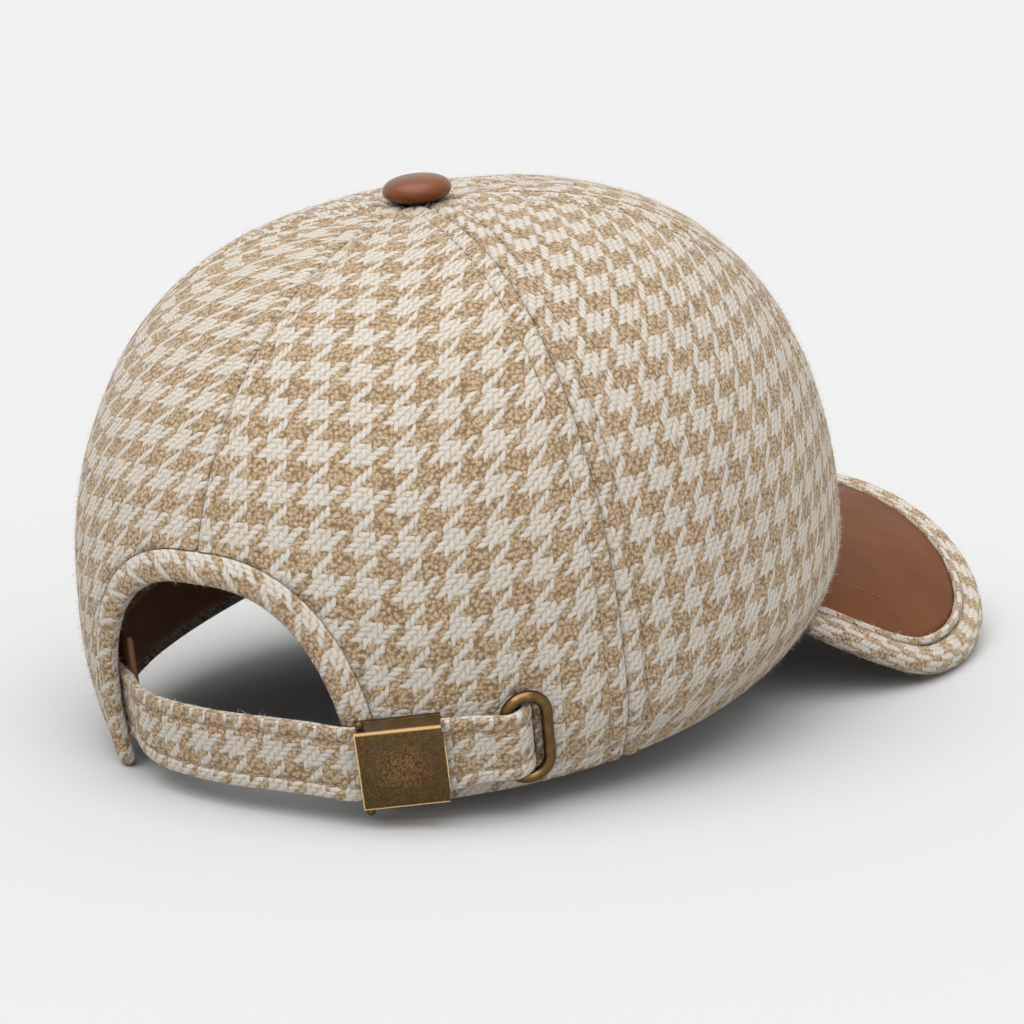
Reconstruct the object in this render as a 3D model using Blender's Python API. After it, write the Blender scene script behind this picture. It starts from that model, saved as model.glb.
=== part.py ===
"""A six-panel wool cap with a rear arch, an adjusting strap with a brass clasp, and a leather-topped peak.

Sizes are in metres. The cap's own frame has its lower edge near Z = 0, its peak towards -Y and its
rear arch towards +Y. Turns are angles about Z from the middle of the back towards the wearer's
right, which is -X. An empty then tilts and lifts the finished cap, so that it rests on its two rear
feet and on the drooping sides of its peak.
"""

import math

import bmesh
import bpy
import numpy as np
from mathutils import Matrix, Vector

# Crown, measured on its outer face
CROWN_HALF_WIDTH = 0.0900
CROWN_FRONT_REACH = 0.1117
CROWN_BACK_REACH = 0.1064
CROWN_HEIGHT = 0.1144
WIDEST_HEIGHT = 0.0190
APEX_SETBACK = 0.0054
LOWER_EDGE_WAVE = 0.0023
DOME_POWER = 2.26
CROWN_TABLE = {
    # side: (roundness of the dome, share of the half width drawn in at the lower edge)
    "back": (2.16, 0.00),
    "side": (2.86, 0.09),
    "front": (2.96, 0.04),
}

# Cloth pieces
CLOTH_WALL = 0.0018
LINING_WALL = 0.0010
SWEATBAND_WALL = 0.0012
SWEATBAND_TOP = 0.0305
SWEATBAND_BOTTOM = 0.0040
PIECE_GAP = 0.0003
LINING_GAP = 0.0006
SWING_ENDS = {
    # side: (turn up to which the sweatband swings in behind the strap, turn over which it comes back)
    "right": (math.radians(53.0), math.radians(13.0)),
    "left": (math.radians(36.0), math.radians(12.0)),
}

# Rear arch and its binding
ARCH_HALF_WIDTH = 0.0343
ARCH_HEIGHT = 0.0517
ARCH_POWER = 0.75
BINDING_WIDTH = 0.0086
BINDING_RISE = 0.0009
BINDING_INNER_RISE = 0.0010
FOOT_DROP = 0.0012

# Peak, measured to the centre of the binding round its rim
PEAK_REACH = 0.0695
PEAK_HALF_WIDTH = 0.0905
PEAK_WIDEST_AHEAD = 0.0843
PEAK_CORNER_TURN = math.radians(65.3)
PEAK_FLARE = math.radians(58.0)
PEAK_PITCH = math.radians(14.9)
PEAK_DROOP = 0.0375
DROOP_POWER = 2.3
PEAK_BINDING_DIAMETER = 0.0084
PIPING_DIAMETER = 0.0028
LEATHER_THICKNESS = 0.0013
BOARD_THICKNESS = 0.0020
BOARD_UNDER = 0.0018
RIM_HANDLES = {
    # part of the rim: share of the length that this handle of the curve spans
    "corner": 0.36,
    "behind_widest": 0.40,
    "before_widest": 0.50,
    "front": 0.71,
}

# Button
BUTTON_DIAMETER = 0.0168
BUTTON_HEIGHT = 0.0064
SHANK_DIAMETER = 0.0070

# Strap
STRAP_WIDTH = 0.0174
STRAP_TAIL_WIDTH = 0.0158
STRAP_THICKNESS = 0.0020
STRAP_MIDDLE_HEIGHT = 0.0148
STRAP_ROUNDING = 0.0006

# Clasp
CLASP_TURN = math.radians(29.2)
CLASP_LENGTH = 0.0185
CLASP_METAL = 0.00045
CLASP_SIDE_GAP = 0.0002
CLASP_RIM = 0.0011
LID_EDGE_BULGE = 0.0006
PIN_DIAMETER = 0.0008
PIN_SETBACK = 0.0013
PIN_BALL_DIAMETER = 0.0020
KNUCKLE_RADIUS = 0.0008
KNUCKLE_BORE_GAP = 0.00015

# Ring that keeps the strap's tail
RING_TURN = math.radians(45.3)
RING_HEIGHT = 0.0228
RING_WIDTH = 0.0120
RING_WIRE = 0.0027
SLOT_SIDE_GAP = 0.0003

# Mesh resolution
PANEL_COLUMNS = 10
PANEL_SKIRT_ROWS = 3
PANEL_DOME_ROWS = 12
LINING_ROW_STEP = 2
SWEATBAND_COLUMNS = 46
ARCH_STATIONS = 40
RIM_STATIONS = 40
PEAK_COLUMNS = 24
PEAK_ROWS = 5

WOOL = ((0.62, 0.53, 0.40), 0.95, 0.0)
DARK_LINING = ((0.07, 0.045, 0.03), 0.9, 0.0)
BAND_LEATHER = ((0.25, 0.11, 0.05), 0.6, 0.0)
PEAK_LEATHER = ((0.24, 0.10, 0.05), 0.5, 0.0)
BUTTON_LEATHER = ((0.30, 0.11, 0.04), 0.35, 0.0)
ANTIQUE_BRASS = ((0.30, 0.19, 0.08), 0.4, 1.0)


# Scene and mesh helpers


def clear_scene():
    """Removes every object of the scene."""
    for item in list(bpy.data.objects):
        bpy.data.objects.remove(item, do_unlink=True)


def finish_material(name, finish):
    """A plain material of one colour, roughness and metallic value."""
    colour, roughness, metallic = finish
    material = bpy.data.materials.new(name)
    material.use_nodes = True
    shader = material.node_tree.nodes["Principled BSDF"]
    shader.inputs["Base Color"].default_value = (*colour, 1.0)
    shader.inputs["Roughness"].default_value = roughness
    shader.inputs["Metallic"].default_value = metallic
    return material


def add_piece(name, points, faces, finish, parent, smooth=True):
    """A closed mesh object made of these points and faces, in flat triangles that face outwards."""
    mesh = bpy.data.meshes.new(name)
    mesh.from_pydata([tuple(map(float, point)) for point in points], [], faces)
    work = bmesh.new()
    work.from_mesh(mesh)
    bmesh.ops.recalc_face_normals(work, faces=work.faces)
    bmesh.ops.triangulate(work, faces=work.faces)
    work.to_mesh(mesh)
    work.free()
    piece = bpy.data.objects.new(name, mesh)
    bpy.context.scene.collection.objects.link(piece)
    piece.data.materials.append(finish_material(name, finish))
    piece.parent = parent
    if smooth:
        mesh.shade_smooth()
        mesh.set_sharp_from_angle(angle=math.radians(40))
    return piece


def add_empty(name, parent, matrix):
    """An empty that places the pieces parented to it."""
    holder = bpy.data.objects.new(name, None)
    bpy.context.scene.collection.objects.link(holder)
    holder.parent = parent
    holder.matrix_local = matrix
    return holder


def add_helper(name, points, faces, parent):
    """A hidden solid that cuts or extends a piece."""
    helper = add_piece(name, points, faces, WOOL, parent, smooth=False)
    helper.hide_render = True
    helper.display_type = "WIRE"
    return helper


def join_with(piece, helper, operation):
    """Adds a live exact Boolean with the helper to the piece."""
    modifier = piece.modifiers.new(helper.name, "BOOLEAN")
    modifier.operation = operation
    modifier.solver = "EXACT"
    modifier.object = helper


def unit(vectors):
    """The vectors scaled to length one."""
    return vectors / np.linalg.norm(vectors, axis=-1, keepdims=True)


def smooth_step(share):
    """A smooth rise from 0 to 1."""
    share = np.clip(share, 0.0, 1.0)
    return share * share * (3.0 - 2.0 * share)


def resample(line, count):
    """The polyline with this many points at even distances."""
    line = np.asarray(line, float)
    steps = np.linalg.norm(np.diff(line, axis=0), axis=1)
    run = np.concatenate([[0.0], np.cumsum(steps)])
    at = np.linspace(0.0, run[-1], count)
    return np.stack([np.interp(at, run, line[:, k]) for k in range(line.shape[1])], axis=1)


def grid_faces(rows, columns, offset=0):
    """Quads of a grid of points stored row by row."""
    faces = []
    for row in range(rows - 1):
        for column in range(columns - 1):
            first = offset + row * columns + column
            faces.append((first, first + 1, first + columns + 1, first + columns))
    return faces


def sheet_solid(outer, inner):
    """Points and faces of the closed wall between two grids of the same shape."""
    rows, columns = outer.shape[:2]
    count = rows * columns
    points = np.concatenate([outer.reshape(-1, 3), inner.reshape(-1, 3)])
    faces = grid_faces(rows, columns)
    faces += [tuple(reversed(face)) for face in grid_faces(rows, columns, count)]
    border = [column for column in range(columns)]
    border += [row * columns + columns - 1 for row in range(1, rows)]
    border += [(rows - 1) * columns + column for column in range(columns - 2, -1, -1)]
    border += [row * columns for row in range(rows - 2, 0, -1)]
    for here, after in zip(border, border[1:] + border[:1]):
        faces.append((here, after, after + count, here + count))
    return points, faces


def swept_solid(centres, across, outward, sections):
    """Points and faces of the closed sweep whose section at each station is a loop of (across, outward)."""
    rings = [
        centre + section[:, :1] * side + section[:, 1:] * out
        for centre, side, out, section in zip(centres, across, outward, sections)
    ]
    count = len(sections[0])
    points = np.concatenate(rings)
    faces = []
    for ring in range(len(rings) - 1):
        for k in range(count):
            after = (k + 1) % count
            first = ring * count
            faces.append((first + k, first + after, first + count + after, first + count + k))
    last = (len(rings) - 1) * count
    faces.append(tuple(range(count)))
    faces.append(tuple(last + k for k in reversed(range(count))))
    return points, faces


def oval_section(half_across, half_outward, sides, power=2.0):
    """A loop of points on a superellipse."""
    angles = np.arange(sides) * 2.0 * math.pi / sides + math.pi / sides
    cosine, sine = np.cos(angles), np.sin(angles)
    share = 2.0 / power
    return np.stack(
        [
            half_across * np.sign(cosine) * np.abs(cosine) ** share,
            half_outward * np.sign(sine) * np.abs(sine) ** share,
        ],
        axis=1,
    )


def box_solid(low, high):
    """Points and faces of a box."""
    corners = [(x, y, z) for x in (low[0], high[0]) for y in (low[1], high[1]) for z in (low[2], high[2])]
    faces = [(0, 1, 3, 2), (4, 6, 7, 5), (0, 4, 5, 1), (2, 3, 7, 6), (0, 2, 6, 4), (1, 5, 7, 3)]
    return corners, faces


def prism_solid(outline, low, high, along):
    """Points and faces of an outline extruded along X, or along Z, from low to high."""
    if along == "x":
        ends = [[(level, a, b) for a, b in outline] for level in (low, high)]
    else:
        ends = [[(a, b, level) for a, b in outline] for level in (low, high)]
    count = len(outline)
    faces = [tuple(range(count)), tuple(range(2 * count - 1, count - 1, -1))]
    for k in range(count):
        after = (k + 1) % count
        faces.append((k, after, count + after, count + k))
    return ends[0] + ends[1], faces


# Crown surface


def mixed(turn, column):
    """A value of the crown's table at this turn, blended between back or front and side."""
    towards = np.cos(turn)
    ends = np.where(towards > 0.0, CROWN_TABLE["back"][column], CROWN_TABLE["front"][column])
    side = CROWN_TABLE["side"][column]
    return side + (ends - side) * towards * towards


def lower_edge(turn):
    """Height of the crown's lower edge, which rises a little at the front and back."""
    return LOWER_EDGE_WAVE * np.cos(2.0 * turn)


def climb_of(height):
    """Position up a meridian: 0 to 1 below the widest ring, 1 to 2 over the dome."""
    share = np.clip((height - WIDEST_HEIGHT) / (CROWN_HEIGHT - WIDEST_HEIGHT), 0.0, 1.0)
    dome = 1.0 + np.arcsin(share ** (DOME_POWER / 2.0)) / (math.pi / 2.0)
    return np.where(height > WIDEST_HEIGHT, dome, height / WIDEST_HEIGHT)


def crown_shell(turn, climb):
    """Point of the crown's outer face at a turn and a position up its meridian."""
    turn, climb = np.broadcast_arrays(np.asarray(turn, float), np.asarray(climb, float))
    angle = np.clip(climb - 1.0, 0.0, 1.0) * (math.pi / 2.0)
    roundness, drawn_in = mixed(turn, 0), mixed(turn, 1)
    dome_height = WIDEST_HEIGHT + (CROWN_HEIGHT - WIDEST_HEIGHT) * np.sin(angle) ** (2.0 / DOME_POWER)
    height = np.where(climb > 1.0, dome_height, climb * WIDEST_HEIGHT)
    dome_radius = np.maximum(np.cos(angle), 0.0) ** (2.0 / roundness)
    skirt_radius = 1.0 - drawn_in * (1.0 - np.minimum(climb, 1.0)) ** 2
    radius = np.where(climb > 1.0, dome_radius, skirt_radius)
    reach = np.where(np.cos(turn) > 0.0, CROWN_BACK_REACH, CROWN_FRONT_REACH)
    x = -CROWN_HALF_WIDTH * radius * np.sin(turn)
    y = reach * radius * np.cos(turn) + APEX_SETBACK * (height / CROWN_HEIGHT) ** 2
    return np.stack([x, y, height], axis=-1)


def crown_normal(turn, climb):
    """Outward normal of the crown's outer face."""
    step = 1e-4
    upper = np.minimum(climb + step, 2.0 - step)
    along = crown_shell(turn + step, climb) - crown_shell(turn - step, climb)
    up = crown_shell(turn, upper) - crown_shell(turn, climb - step)
    return unit(np.cross(along, up))


def crown_at(turn, climb, proud=0.0):
    """Point at a distance outside the crown's outer face."""
    climb = np.asarray(climb, float)
    proud = np.asarray(proud, float)
    return crown_shell(turn, climb) + proud[..., None] * crown_normal(turn, climb)


def turn_of(point):
    """Turn of the crown's meridian through a point."""
    lean = APEX_SETBACK * (point[2] / CROWN_HEIGHT) ** 2
    ahead = point[1] - lean
    reach = CROWN_BACK_REACH if ahead > 0.0 else CROWN_FRONT_REACH
    return math.atan2(-point[0] / CROWN_HALF_WIDTH, ahead / reach)


def wall_chord(turn):
    """Lower end, middle and upper end of the strip of wall that the strap's width covers at a turn."""
    heights = STRAP_MIDDLE_HEIGHT + STRAP_WIDTH * np.array([-0.5, 0.0, 0.5])
    return crown_shell(turn, climb_of(heights))


def wall_bulge(turn):
    """How far the wall behind the strap bulges over the straight line between its two ends."""
    low, middle, high = wall_chord(turn)
    upward = unit(high - low)
    offset = middle - low
    return float(np.linalg.norm(offset - upward * (offset @ upward)))


def seat_frame(turn):
    """Matrix of a seat at the strap's height: X towards the wearer's left, Y outwards and Z up the wall."""
    low, middle, high = wall_chord(turn)
    upward = unit(high - low)
    outward = crown_normal(turn, climb_of(np.array(STRAP_MIDDLE_HEIGHT)))
    leftward = unit(np.cross(outward, upward))
    outward = np.cross(upward, leftward)
    matrix = np.identity(4)
    matrix[:3, 0], matrix[:3, 1], matrix[:3, 2], matrix[:3, 3] = leftward, outward, upward, middle
    return matrix


def from_seat(frame, points):
    """Points given in a seat's own axes, in the cap's frame."""
    return np.asarray(points, float) @ frame[:3, :3].T + frame[:3, 3]


# Rear arch


def arch_line(distance, count):
    """Stations (turn, height) along the arch, this far outside its inner edge, from left foot to right."""
    half_turn = math.asin(ARCH_HALF_WIDTH / CROWN_HALF_WIDTH)
    angles = np.linspace(math.pi - 1e-3, 1e-3, 361)
    cosine, sine = np.cos(angles), np.sin(angles)
    turns = half_turn * np.sign(cosine) * np.abs(cosine) ** ARCH_POWER
    heights = ARCH_HEIGHT * sine**ARCH_POWER
    below = -FOOT_DROP
    keep = heights > WIDEST_HEIGHT / 8.0
    turns = np.concatenate([[turns[keep][0]], turns[keep], [turns[keep][-1]]])
    heights = np.concatenate([[below], heights[keep], [below]])
    climbs = climb_of(heights)
    line = resample(crown_shell(turns, climbs), 241)
    stations = np.array([(turn_of(point), point[2]) for point in line])
    normals = crown_normal(stations[:, 0], climb_of(stations[:, 1]))
    outside = unit(np.cross(unit(np.gradient(line, axis=0)), normals))
    if outside[len(outside) // 2][2] < 0.0:
        outside = -outside
    moved = line + outside * distance
    moved[:, 2] = np.maximum(moved[:, 2], below)
    moved = resample(moved, count)
    return np.array([(turn_of(point), point[2]) for point in moved])


def arch_plug(parent, name):
    """The solid that cuts the arch, and its binding's width, out of a wall."""
    line = arch_line(BINDING_WIDTH + PIECE_GAP, ARCH_STATIONS)
    deep = -WIDEST_HEIGHT / 3.0
    floor_turns = np.linspace(line[-1, 0], line[0, 0], 8)
    loop = np.concatenate([line, np.stack([floor_turns, np.full(8, deep)], axis=1)])
    climbs = climb_of(loop[:, 1])
    reach = 5.0 * CLOTH_WALL
    outer = crown_at(loop[:, 0], climbs, np.full(len(loop), reach))
    inner = crown_at(loop[:, 0], climbs, np.full(len(loop), -reach))
    centre_climb = climb_of(np.array([ARCH_HEIGHT / 2.0]))
    tips = [crown_at(np.zeros(1), centre_climb, np.full(1, side * reach)) for side in (1.0, -1.0)]
    points = np.concatenate([outer, inner, tips[0], tips[1]])
    count = len(loop)
    faces = []
    for k in range(count):
        after = (k + 1) % count
        faces.append((k, after, count + after, count + k))
        faces.append((k, 2 * count, after))
        faces.append((count + k, count + after, 2 * count + 1))
    return add_helper(name, points, faces, parent)


def back_binding(parent):
    """The padded binding round the arch, with a rounded foot at each end."""
    line = arch_line(BINDING_WIDTH / 2.0, ARCH_STATIONS)
    climbs = climb_of(line[:, 1])
    normals = crown_normal(line[:, 0], climbs)
    thickness = BINDING_RISE + CLOTH_WALL + BINDING_INNER_RISE
    middle = BINDING_RISE - thickness / 2.0
    centres = crown_at(line[:, 0], climbs, np.full(len(line), middle))
    across = unit(np.cross(unit(np.gradient(centres, axis=0)), normals))
    section = oval_section(BINDING_WIDTH / 2.0, thickness / 2.0, 12, 3.2)
    sizes = np.ones(len(line))
    sizes[0] = sizes[-1] = 0.72
    return add_piece(
        "back_binding",
        *swept_solid(centres, across, normals, [section * size for size in sizes]),
        WOOL,
        parent,
    )


# Crown pieces


def dome_climb(turns, row):
    """Position up the meridians of one row of the dome; the last row is the hole under the button."""
    hole = SHANK_DIAMETER / 2.0 + PIECE_GAP
    span = np.arccos((hole / CROWN_HALF_WIDTH) ** (mixed(turns, 0) / 2.0)) / (math.pi / 2.0)
    return 1.0 + span * row / PANEL_DOME_ROWS


def crown_panel(name, first_seam, last_seam, parent):
    """One wool panel between two seams, from the lower edge to the hole under the button."""
    shares = np.linspace(0.0, 1.0, PANEL_COLUMNS + 1)
    rows = []
    for row in range(PANEL_SKIRT_ROWS + PANEL_DOME_ROWS + 1):
        turns = first_seam + shares * (last_seam - first_seam)
        for _ in range(3):
            start = lower_edge(turns) / WIDEST_HEIGHT
            if row <= PANEL_SKIRT_ROWS:
                climbs = start + (1.0 - start) * row / PANEL_SKIRT_ROWS
            else:
                climbs = dome_climb(turns, row - PANEL_SKIRT_ROWS)
            shell = crown_shell(turns, climbs)
            radius = np.hypot(shell[:, 0], shell[:, 1] - APEX_SETBACK * (shell[:, 2] / CROWN_HEIGHT) ** 2)
            inset = np.arcsin(PIECE_GAP / 2.0 / radius)
            turns = first_seam + inset + shares * (last_seam - first_seam - 2.0 * inset)
        rows.append((turns, climbs))
    turns = np.array([row[0] for row in rows])
    climbs = np.array([row[1] for row in rows])
    outer = crown_at(turns, climbs, np.zeros(turns.shape))
    inner = crown_at(turns, climbs, np.full(turns.shape, -CLOTH_WALL))
    return add_piece(name, *sheet_solid(outer, inner), WOOL, parent)


def crown_lining(parent):
    """The dark lining dome above the sweatband, with its facets behind every second one of the panels."""
    columns, dome_rows = 3 * PANEL_COLUMNS, range(LINING_ROW_STEP, PANEL_DOME_ROWS + 1, LINING_ROW_STEP)
    depths = (CLOTH_WALL + LINING_GAP, CLOTH_WALL + LINING_GAP + LINING_WALL)
    turns = np.arange(columns) * 2.0 * math.pi / columns
    low = climb_of(np.full(columns, SWEATBAND_TOP + PIECE_GAP))
    climbs = np.array([low] + [dome_climb(turns, row) for row in dome_rows])
    turn_grid = np.broadcast_to(turns, climbs.shape)
    shells = [crown_at(turn_grid, climbs, np.full(climbs.shape, -depth)).reshape(-1, 3) for depth in depths]
    apex = crown_shell(np.zeros(1), np.full(1, 2.0))
    tips = [apex - np.array([[0.0, 0.0, depth]]) for depth in depths]
    count = climbs.size
    top = count - columns
    faces = []
    for k in range(columns):
        after = (k + 1) % columns
        for first in range(0, top, columns):
            quad = (first + k, first + after, first + columns + after, first + columns + k)
            faces.append(quad)
            faces.append(tuple(count + index for index in reversed(quad)))
        faces.append((top + k, top + after, 2 * count))
        faces.append((count + top + after, count + top + k, 2 * count + 1))
        faces.append((after, k, count + k, count + after))
    points = np.concatenate([shells[0], shells[1], tips[0], tips[1]])
    return add_piece("crown_lining", points, faces, DARK_LINING, parent)


def sweatband(parent):
    """The leather band inside the lower edge; near the arch it swings in behind the strap's two ends."""
    end_turn = math.asin(ARCH_HALF_WIDTH / CROWN_HALF_WIDTH) + BINDING_WIDTH / 8.0 / CROWN_HALF_WIDTH
    turns = np.linspace(end_turn, 2.0 * math.pi - end_turn, SWEATBAND_COLUMNS)
    strap_room = STRAP_THICKNESS + 2.0 * PIECE_GAP + BINDING_INNER_RISE + PIECE_GAP
    left_turns = 2.0 * math.pi - turns
    swing_right = 1.0 - smooth_step((turns - SWING_ENDS["right"][0]) / SWING_ENDS["right"][1])
    swing_left = 1.0 - smooth_step((left_turns - SWING_ENDS["left"][0]) / SWING_ENDS["left"][1])
    depth = CLOTH_WALL + LINING_GAP + strap_room * np.maximum(swing_right, swing_left)
    heights = np.linspace(SWEATBAND_BOTTOM, SWEATBAND_TOP, 3)
    turn_grid, height_grid = np.meshgrid(turns, heights)
    depth_grid = np.broadcast_to(depth, turn_grid.shape)
    climbs = climb_of(height_grid)
    outer = crown_at(turn_grid, climbs, -depth_grid)
    inner = crown_at(turn_grid, climbs, -depth_grid - SWEATBAND_WALL)
    return add_piece("sweatband", *sheet_solid(outer, inner), BAND_LEATHER, parent)


def button(parent):
    """The leather button, a flattened ball on a shank that fills the hole between the panels."""
    sides = 20
    half = BUTTON_DIAMETER / 2.0
    seat = CROWN_HEIGHT + PIECE_GAP
    profile = [(SHANK_DIAMETER / 2.0, CROWN_HEIGHT - CLOTH_WALL), (SHANK_DIAMETER / 2.0, seat)]
    for step in range(7):
        angle = math.radians(-62.0 + step * 23.0)
        rise = (math.sin(angle) + math.sin(math.radians(62.0))) / (1.0 + math.sin(math.radians(62.0)))
        profile.append((half * math.cos(angle) ** 0.8, seat + BUTTON_HEIGHT * rise))
    points = [
        (radius * math.cos(2.0 * math.pi * k / sides), radius * math.sin(2.0 * math.pi * k / sides) + APEX_SETBACK, z)
        for radius, z in profile
        for k in range(sides)
    ]
    points.append((0.0, APEX_SETBACK, CROWN_HEIGHT - CLOTH_WALL))
    points.append((0.0, APEX_SETBACK, seat + BUTTON_HEIGHT))
    faces = []
    last = (len(profile) - 1) * sides
    for k in range(sides):
        after = (k + 1) % sides
        for ring in range(len(profile) - 1):
            first = ring * sides
            faces.append((first + k, first + after, first + sides + after, first + sides + k))
        faces.append((after, k, len(points) - 2))
        faces.append((last + k, last + after, len(points) - 1))
    return add_piece("button", points, faces, BUTTON_LEATHER, parent)


# Peak


def curve_between(start, start_handle, end_handle, end, count):
    """Points of a cubic curve."""
    share = np.linspace(0.0, 1.0, count)[:, None]
    rest = 1.0 - share
    return start * rest**3 + 3.0 * start_handle * share * rest**2 + 3.0 * end_handle * share**2 * rest + end * share**3


def rim_plan():
    """Plan of the rim's centre line, from the wearer's right corner round the front to the left one."""
    turn = math.pi + PEAK_CORNER_TURN
    corner = crown_shell(turn, lower_edge(turn) / WIDEST_HEIGHT)[:2]
    widest = np.array([PEAK_HALF_WIDTH, -PEAK_WIDEST_AHEAD])
    front = np.array([0.0, -(CROWN_FRONT_REACH + PEAK_REACH)])
    side_run = corner[1] - widest[1]
    front_run = widest[1] - front[1]
    flare = np.array([math.cos(PEAK_FLARE), -math.sin(PEAK_FLARE)])
    back = curve_between(
        corner,
        corner + flare * side_run * RIM_HANDLES["corner"],
        widest + np.array([0.0, side_run * RIM_HANDLES["behind_widest"]]),
        widest,
        60,
    )
    ahead = curve_between(
        widest,
        widest - np.array([0.0, front_run * RIM_HANDLES["before_widest"]]),
        front + np.array([widest[0] * RIM_HANDLES["front"], 0.0]),
        front,
        120,
    )
    half = np.concatenate([back, ahead[1:]])
    return np.concatenate([half * np.array([-1.0, 1.0]), half[::-1][1:]])


def peak_height(plan):
    """Height of the peak's middle surface over a plan point, sloping forward and drooping to the sides."""
    fall = math.tan(PEAK_PITCH) * (-plan[..., 1] - CROWN_FRONT_REACH)
    droop = PEAK_DROOP * (np.abs(plan[..., 0]) / PEAK_HALF_WIDTH) ** DROOP_POWER
    return LOWER_EDGE_WAVE - fall - droop


def peak_normal(plan):
    """Upward normal of the peak's middle surface."""
    step = 1e-5
    along_x = peak_height(plan + np.array([step, 0.0])) - peak_height(plan - np.array([step, 0.0]))
    along_y = peak_height(plan + np.array([0.0, step])) - peak_height(plan - np.array([0.0, step]))
    return unit(np.stack([-along_x, -along_y, np.full(along_x.shape, 2.0 * step)], axis=-1))


def crown_share(plan):
    """Distance of a plan point from the crown's middle, as a share of the lower edge's distance there."""
    shares = []
    for point in plan:
        turn = turn_of((point[0], point[1], 0.0))
        edge = crown_shell(turn, lower_edge(turn) / WIDEST_HEIGHT)[:2]
        shares.append(np.hypot(*point) / np.hypot(*edge))
    return np.array(shares)


def inset_plan(inset, outside, count):
    """The rim's plan moved inwards, kept where it is this far outside the crown's lower edge."""
    rim = rim_plan()
    along = unit(np.gradient(rim, axis=0))
    inward = np.stack([-along[:, 1], along[:, 0]], axis=1)
    if inward[len(inward) // 2][1] < 0.0:
        inward = -inward
    moved = rim + inward * inset
    share = 1.0 + outside / CROWN_FRONT_REACH
    return resample(moved[crown_share(moved) > share], count)


def peak_top():
    """Height of the leather's upper face over the peak's middle surface."""
    return BOARD_THICKNESS - BOARD_UNDER + PIECE_GAP + LEATHER_THICKNESS


def piping_place():
    """Inset of the piping from the rim's centre line and its height over the middle surface."""
    radius = PIPING_DIAMETER / 2.0
    proud = BOARD_THICKNESS - BOARD_UNDER + PIECE_GAP + radius
    return math.sqrt((PEAK_BINDING_DIAMETER / 2.0 + radius + PIECE_GAP) ** 2 - proud**2), proud


def peak_sheet(name, inset, low, high, finish, parent):
    """One sheet of the peak between two distances from its middle surface, tucked under the crown's edge."""
    rim = inset_plan(inset, PIPING_DIAMETER / 2.0, PEAK_COLUMNS + 1)
    half_turn = math.pi - turn_of((rim[0, 0], rim[0, 1], 0.0))
    turns = math.pi + np.linspace(-half_turn, half_turn, PEAK_COLUMNS + 1)
    edge_heights = lower_edge(turns)
    arc = crown_at(turns, edge_heights / WIDEST_HEIGHT, np.full(len(turns), -CLOTH_WALL))[:, :2]
    wanted = edge_heights - PIECE_GAP - peak_top()
    lift = wanted - peak_height(arc)
    rows = []
    for share in np.linspace(0.0, 1.0, PEAK_ROWS + 1):
        plan = arc * (1.0 - share) + rim * share
        heights = peak_height(plan) + lift * (1.0 - smooth_step(share))
        middle = np.concatenate([plan, heights[:, None]], axis=1)
        rows.append((middle, peak_normal(plan)))
    upper = np.array([middle + normal * high for middle, normal in rows])
    under = np.array([middle + normal * low for middle, normal in rows])
    return add_piece(name, *sheet_solid(upper, under), finish, parent)


def rim_tube(name, inset, proud, diameter, end_diameter, sides, taper, parent):
    """A round cord along the rim, thinner at both ends where it goes under the crown's edge."""
    plan = inset_plan(inset, 0.0, RIM_STATIONS)
    normals = peak_normal(plan)
    centres = np.concatenate([plan, peak_height(plan)[:, None]], axis=1) + normals * proud
    tangents = unit(np.gradient(centres, axis=0))
    across = unit(np.cross(tangents, normals))
    outward = np.cross(across, tangents)
    steps = np.linalg.norm(np.diff(centres, axis=0), axis=1)
    run = np.concatenate([[0.0], np.cumsum(steps)])
    from_end = np.minimum(run, run[-1] - run)
    sizes = end_diameter + (diameter - end_diameter) * smooth_step(from_end / taper)
    sections = [oval_section(size / 2.0, size / 2.0, sides) for size in sizes]
    return add_piece(name, *swept_solid(centres, across, outward, sections), WOOL, parent)


# Strap, clasp and ring


def clasp_levels():
    """Distances of the clasp's layers outside the crown at the clasp's middle."""
    frame_low = BINDING_RISE + PIECE_GAP
    strap_low = frame_low + CLASP_METAL + PIECE_GAP
    strap_high = strap_low + STRAP_THICKNESS
    pin = strap_high + PIECE_GAP + PIN_SETBACK
    lid_low = pin + KNUCKLE_RADIUS + KNUCKLE_BORE_GAP
    return {"frame": frame_low, "strap": strap_low, "pin": pin, "lid": lid_low}


def through_points(points, spacing):
    """A smooth curve through the points, sampled at about this spacing."""
    points = np.asarray(points, float)
    padded = np.concatenate([2.0 * points[:1] - points[1:2], points, 2.0 * points[-1:] - points[-2:-1]])
    samples = []
    for k in range(len(points) - 1):
        before, start, end, after = padded[k : k + 4]
        for share in np.linspace(0.0, 1.0, 12, endpoint=False):
            square, cube = share**2, share**3
            samples.append(
                0.5
                * (
                    2.0 * start
                    + (end - before) * share
                    + (2.0 * before - 5.0 * start + 4.0 * end - after) * square
                    + (3.0 * start - before - 3.0 * end + after) * cube
                )
            )
    samples.append(points[-1])
    length = np.linalg.norm(np.diff(samples, axis=0), axis=1).sum()
    return resample(samples, int(round(length / spacing)) + 1)


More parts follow.
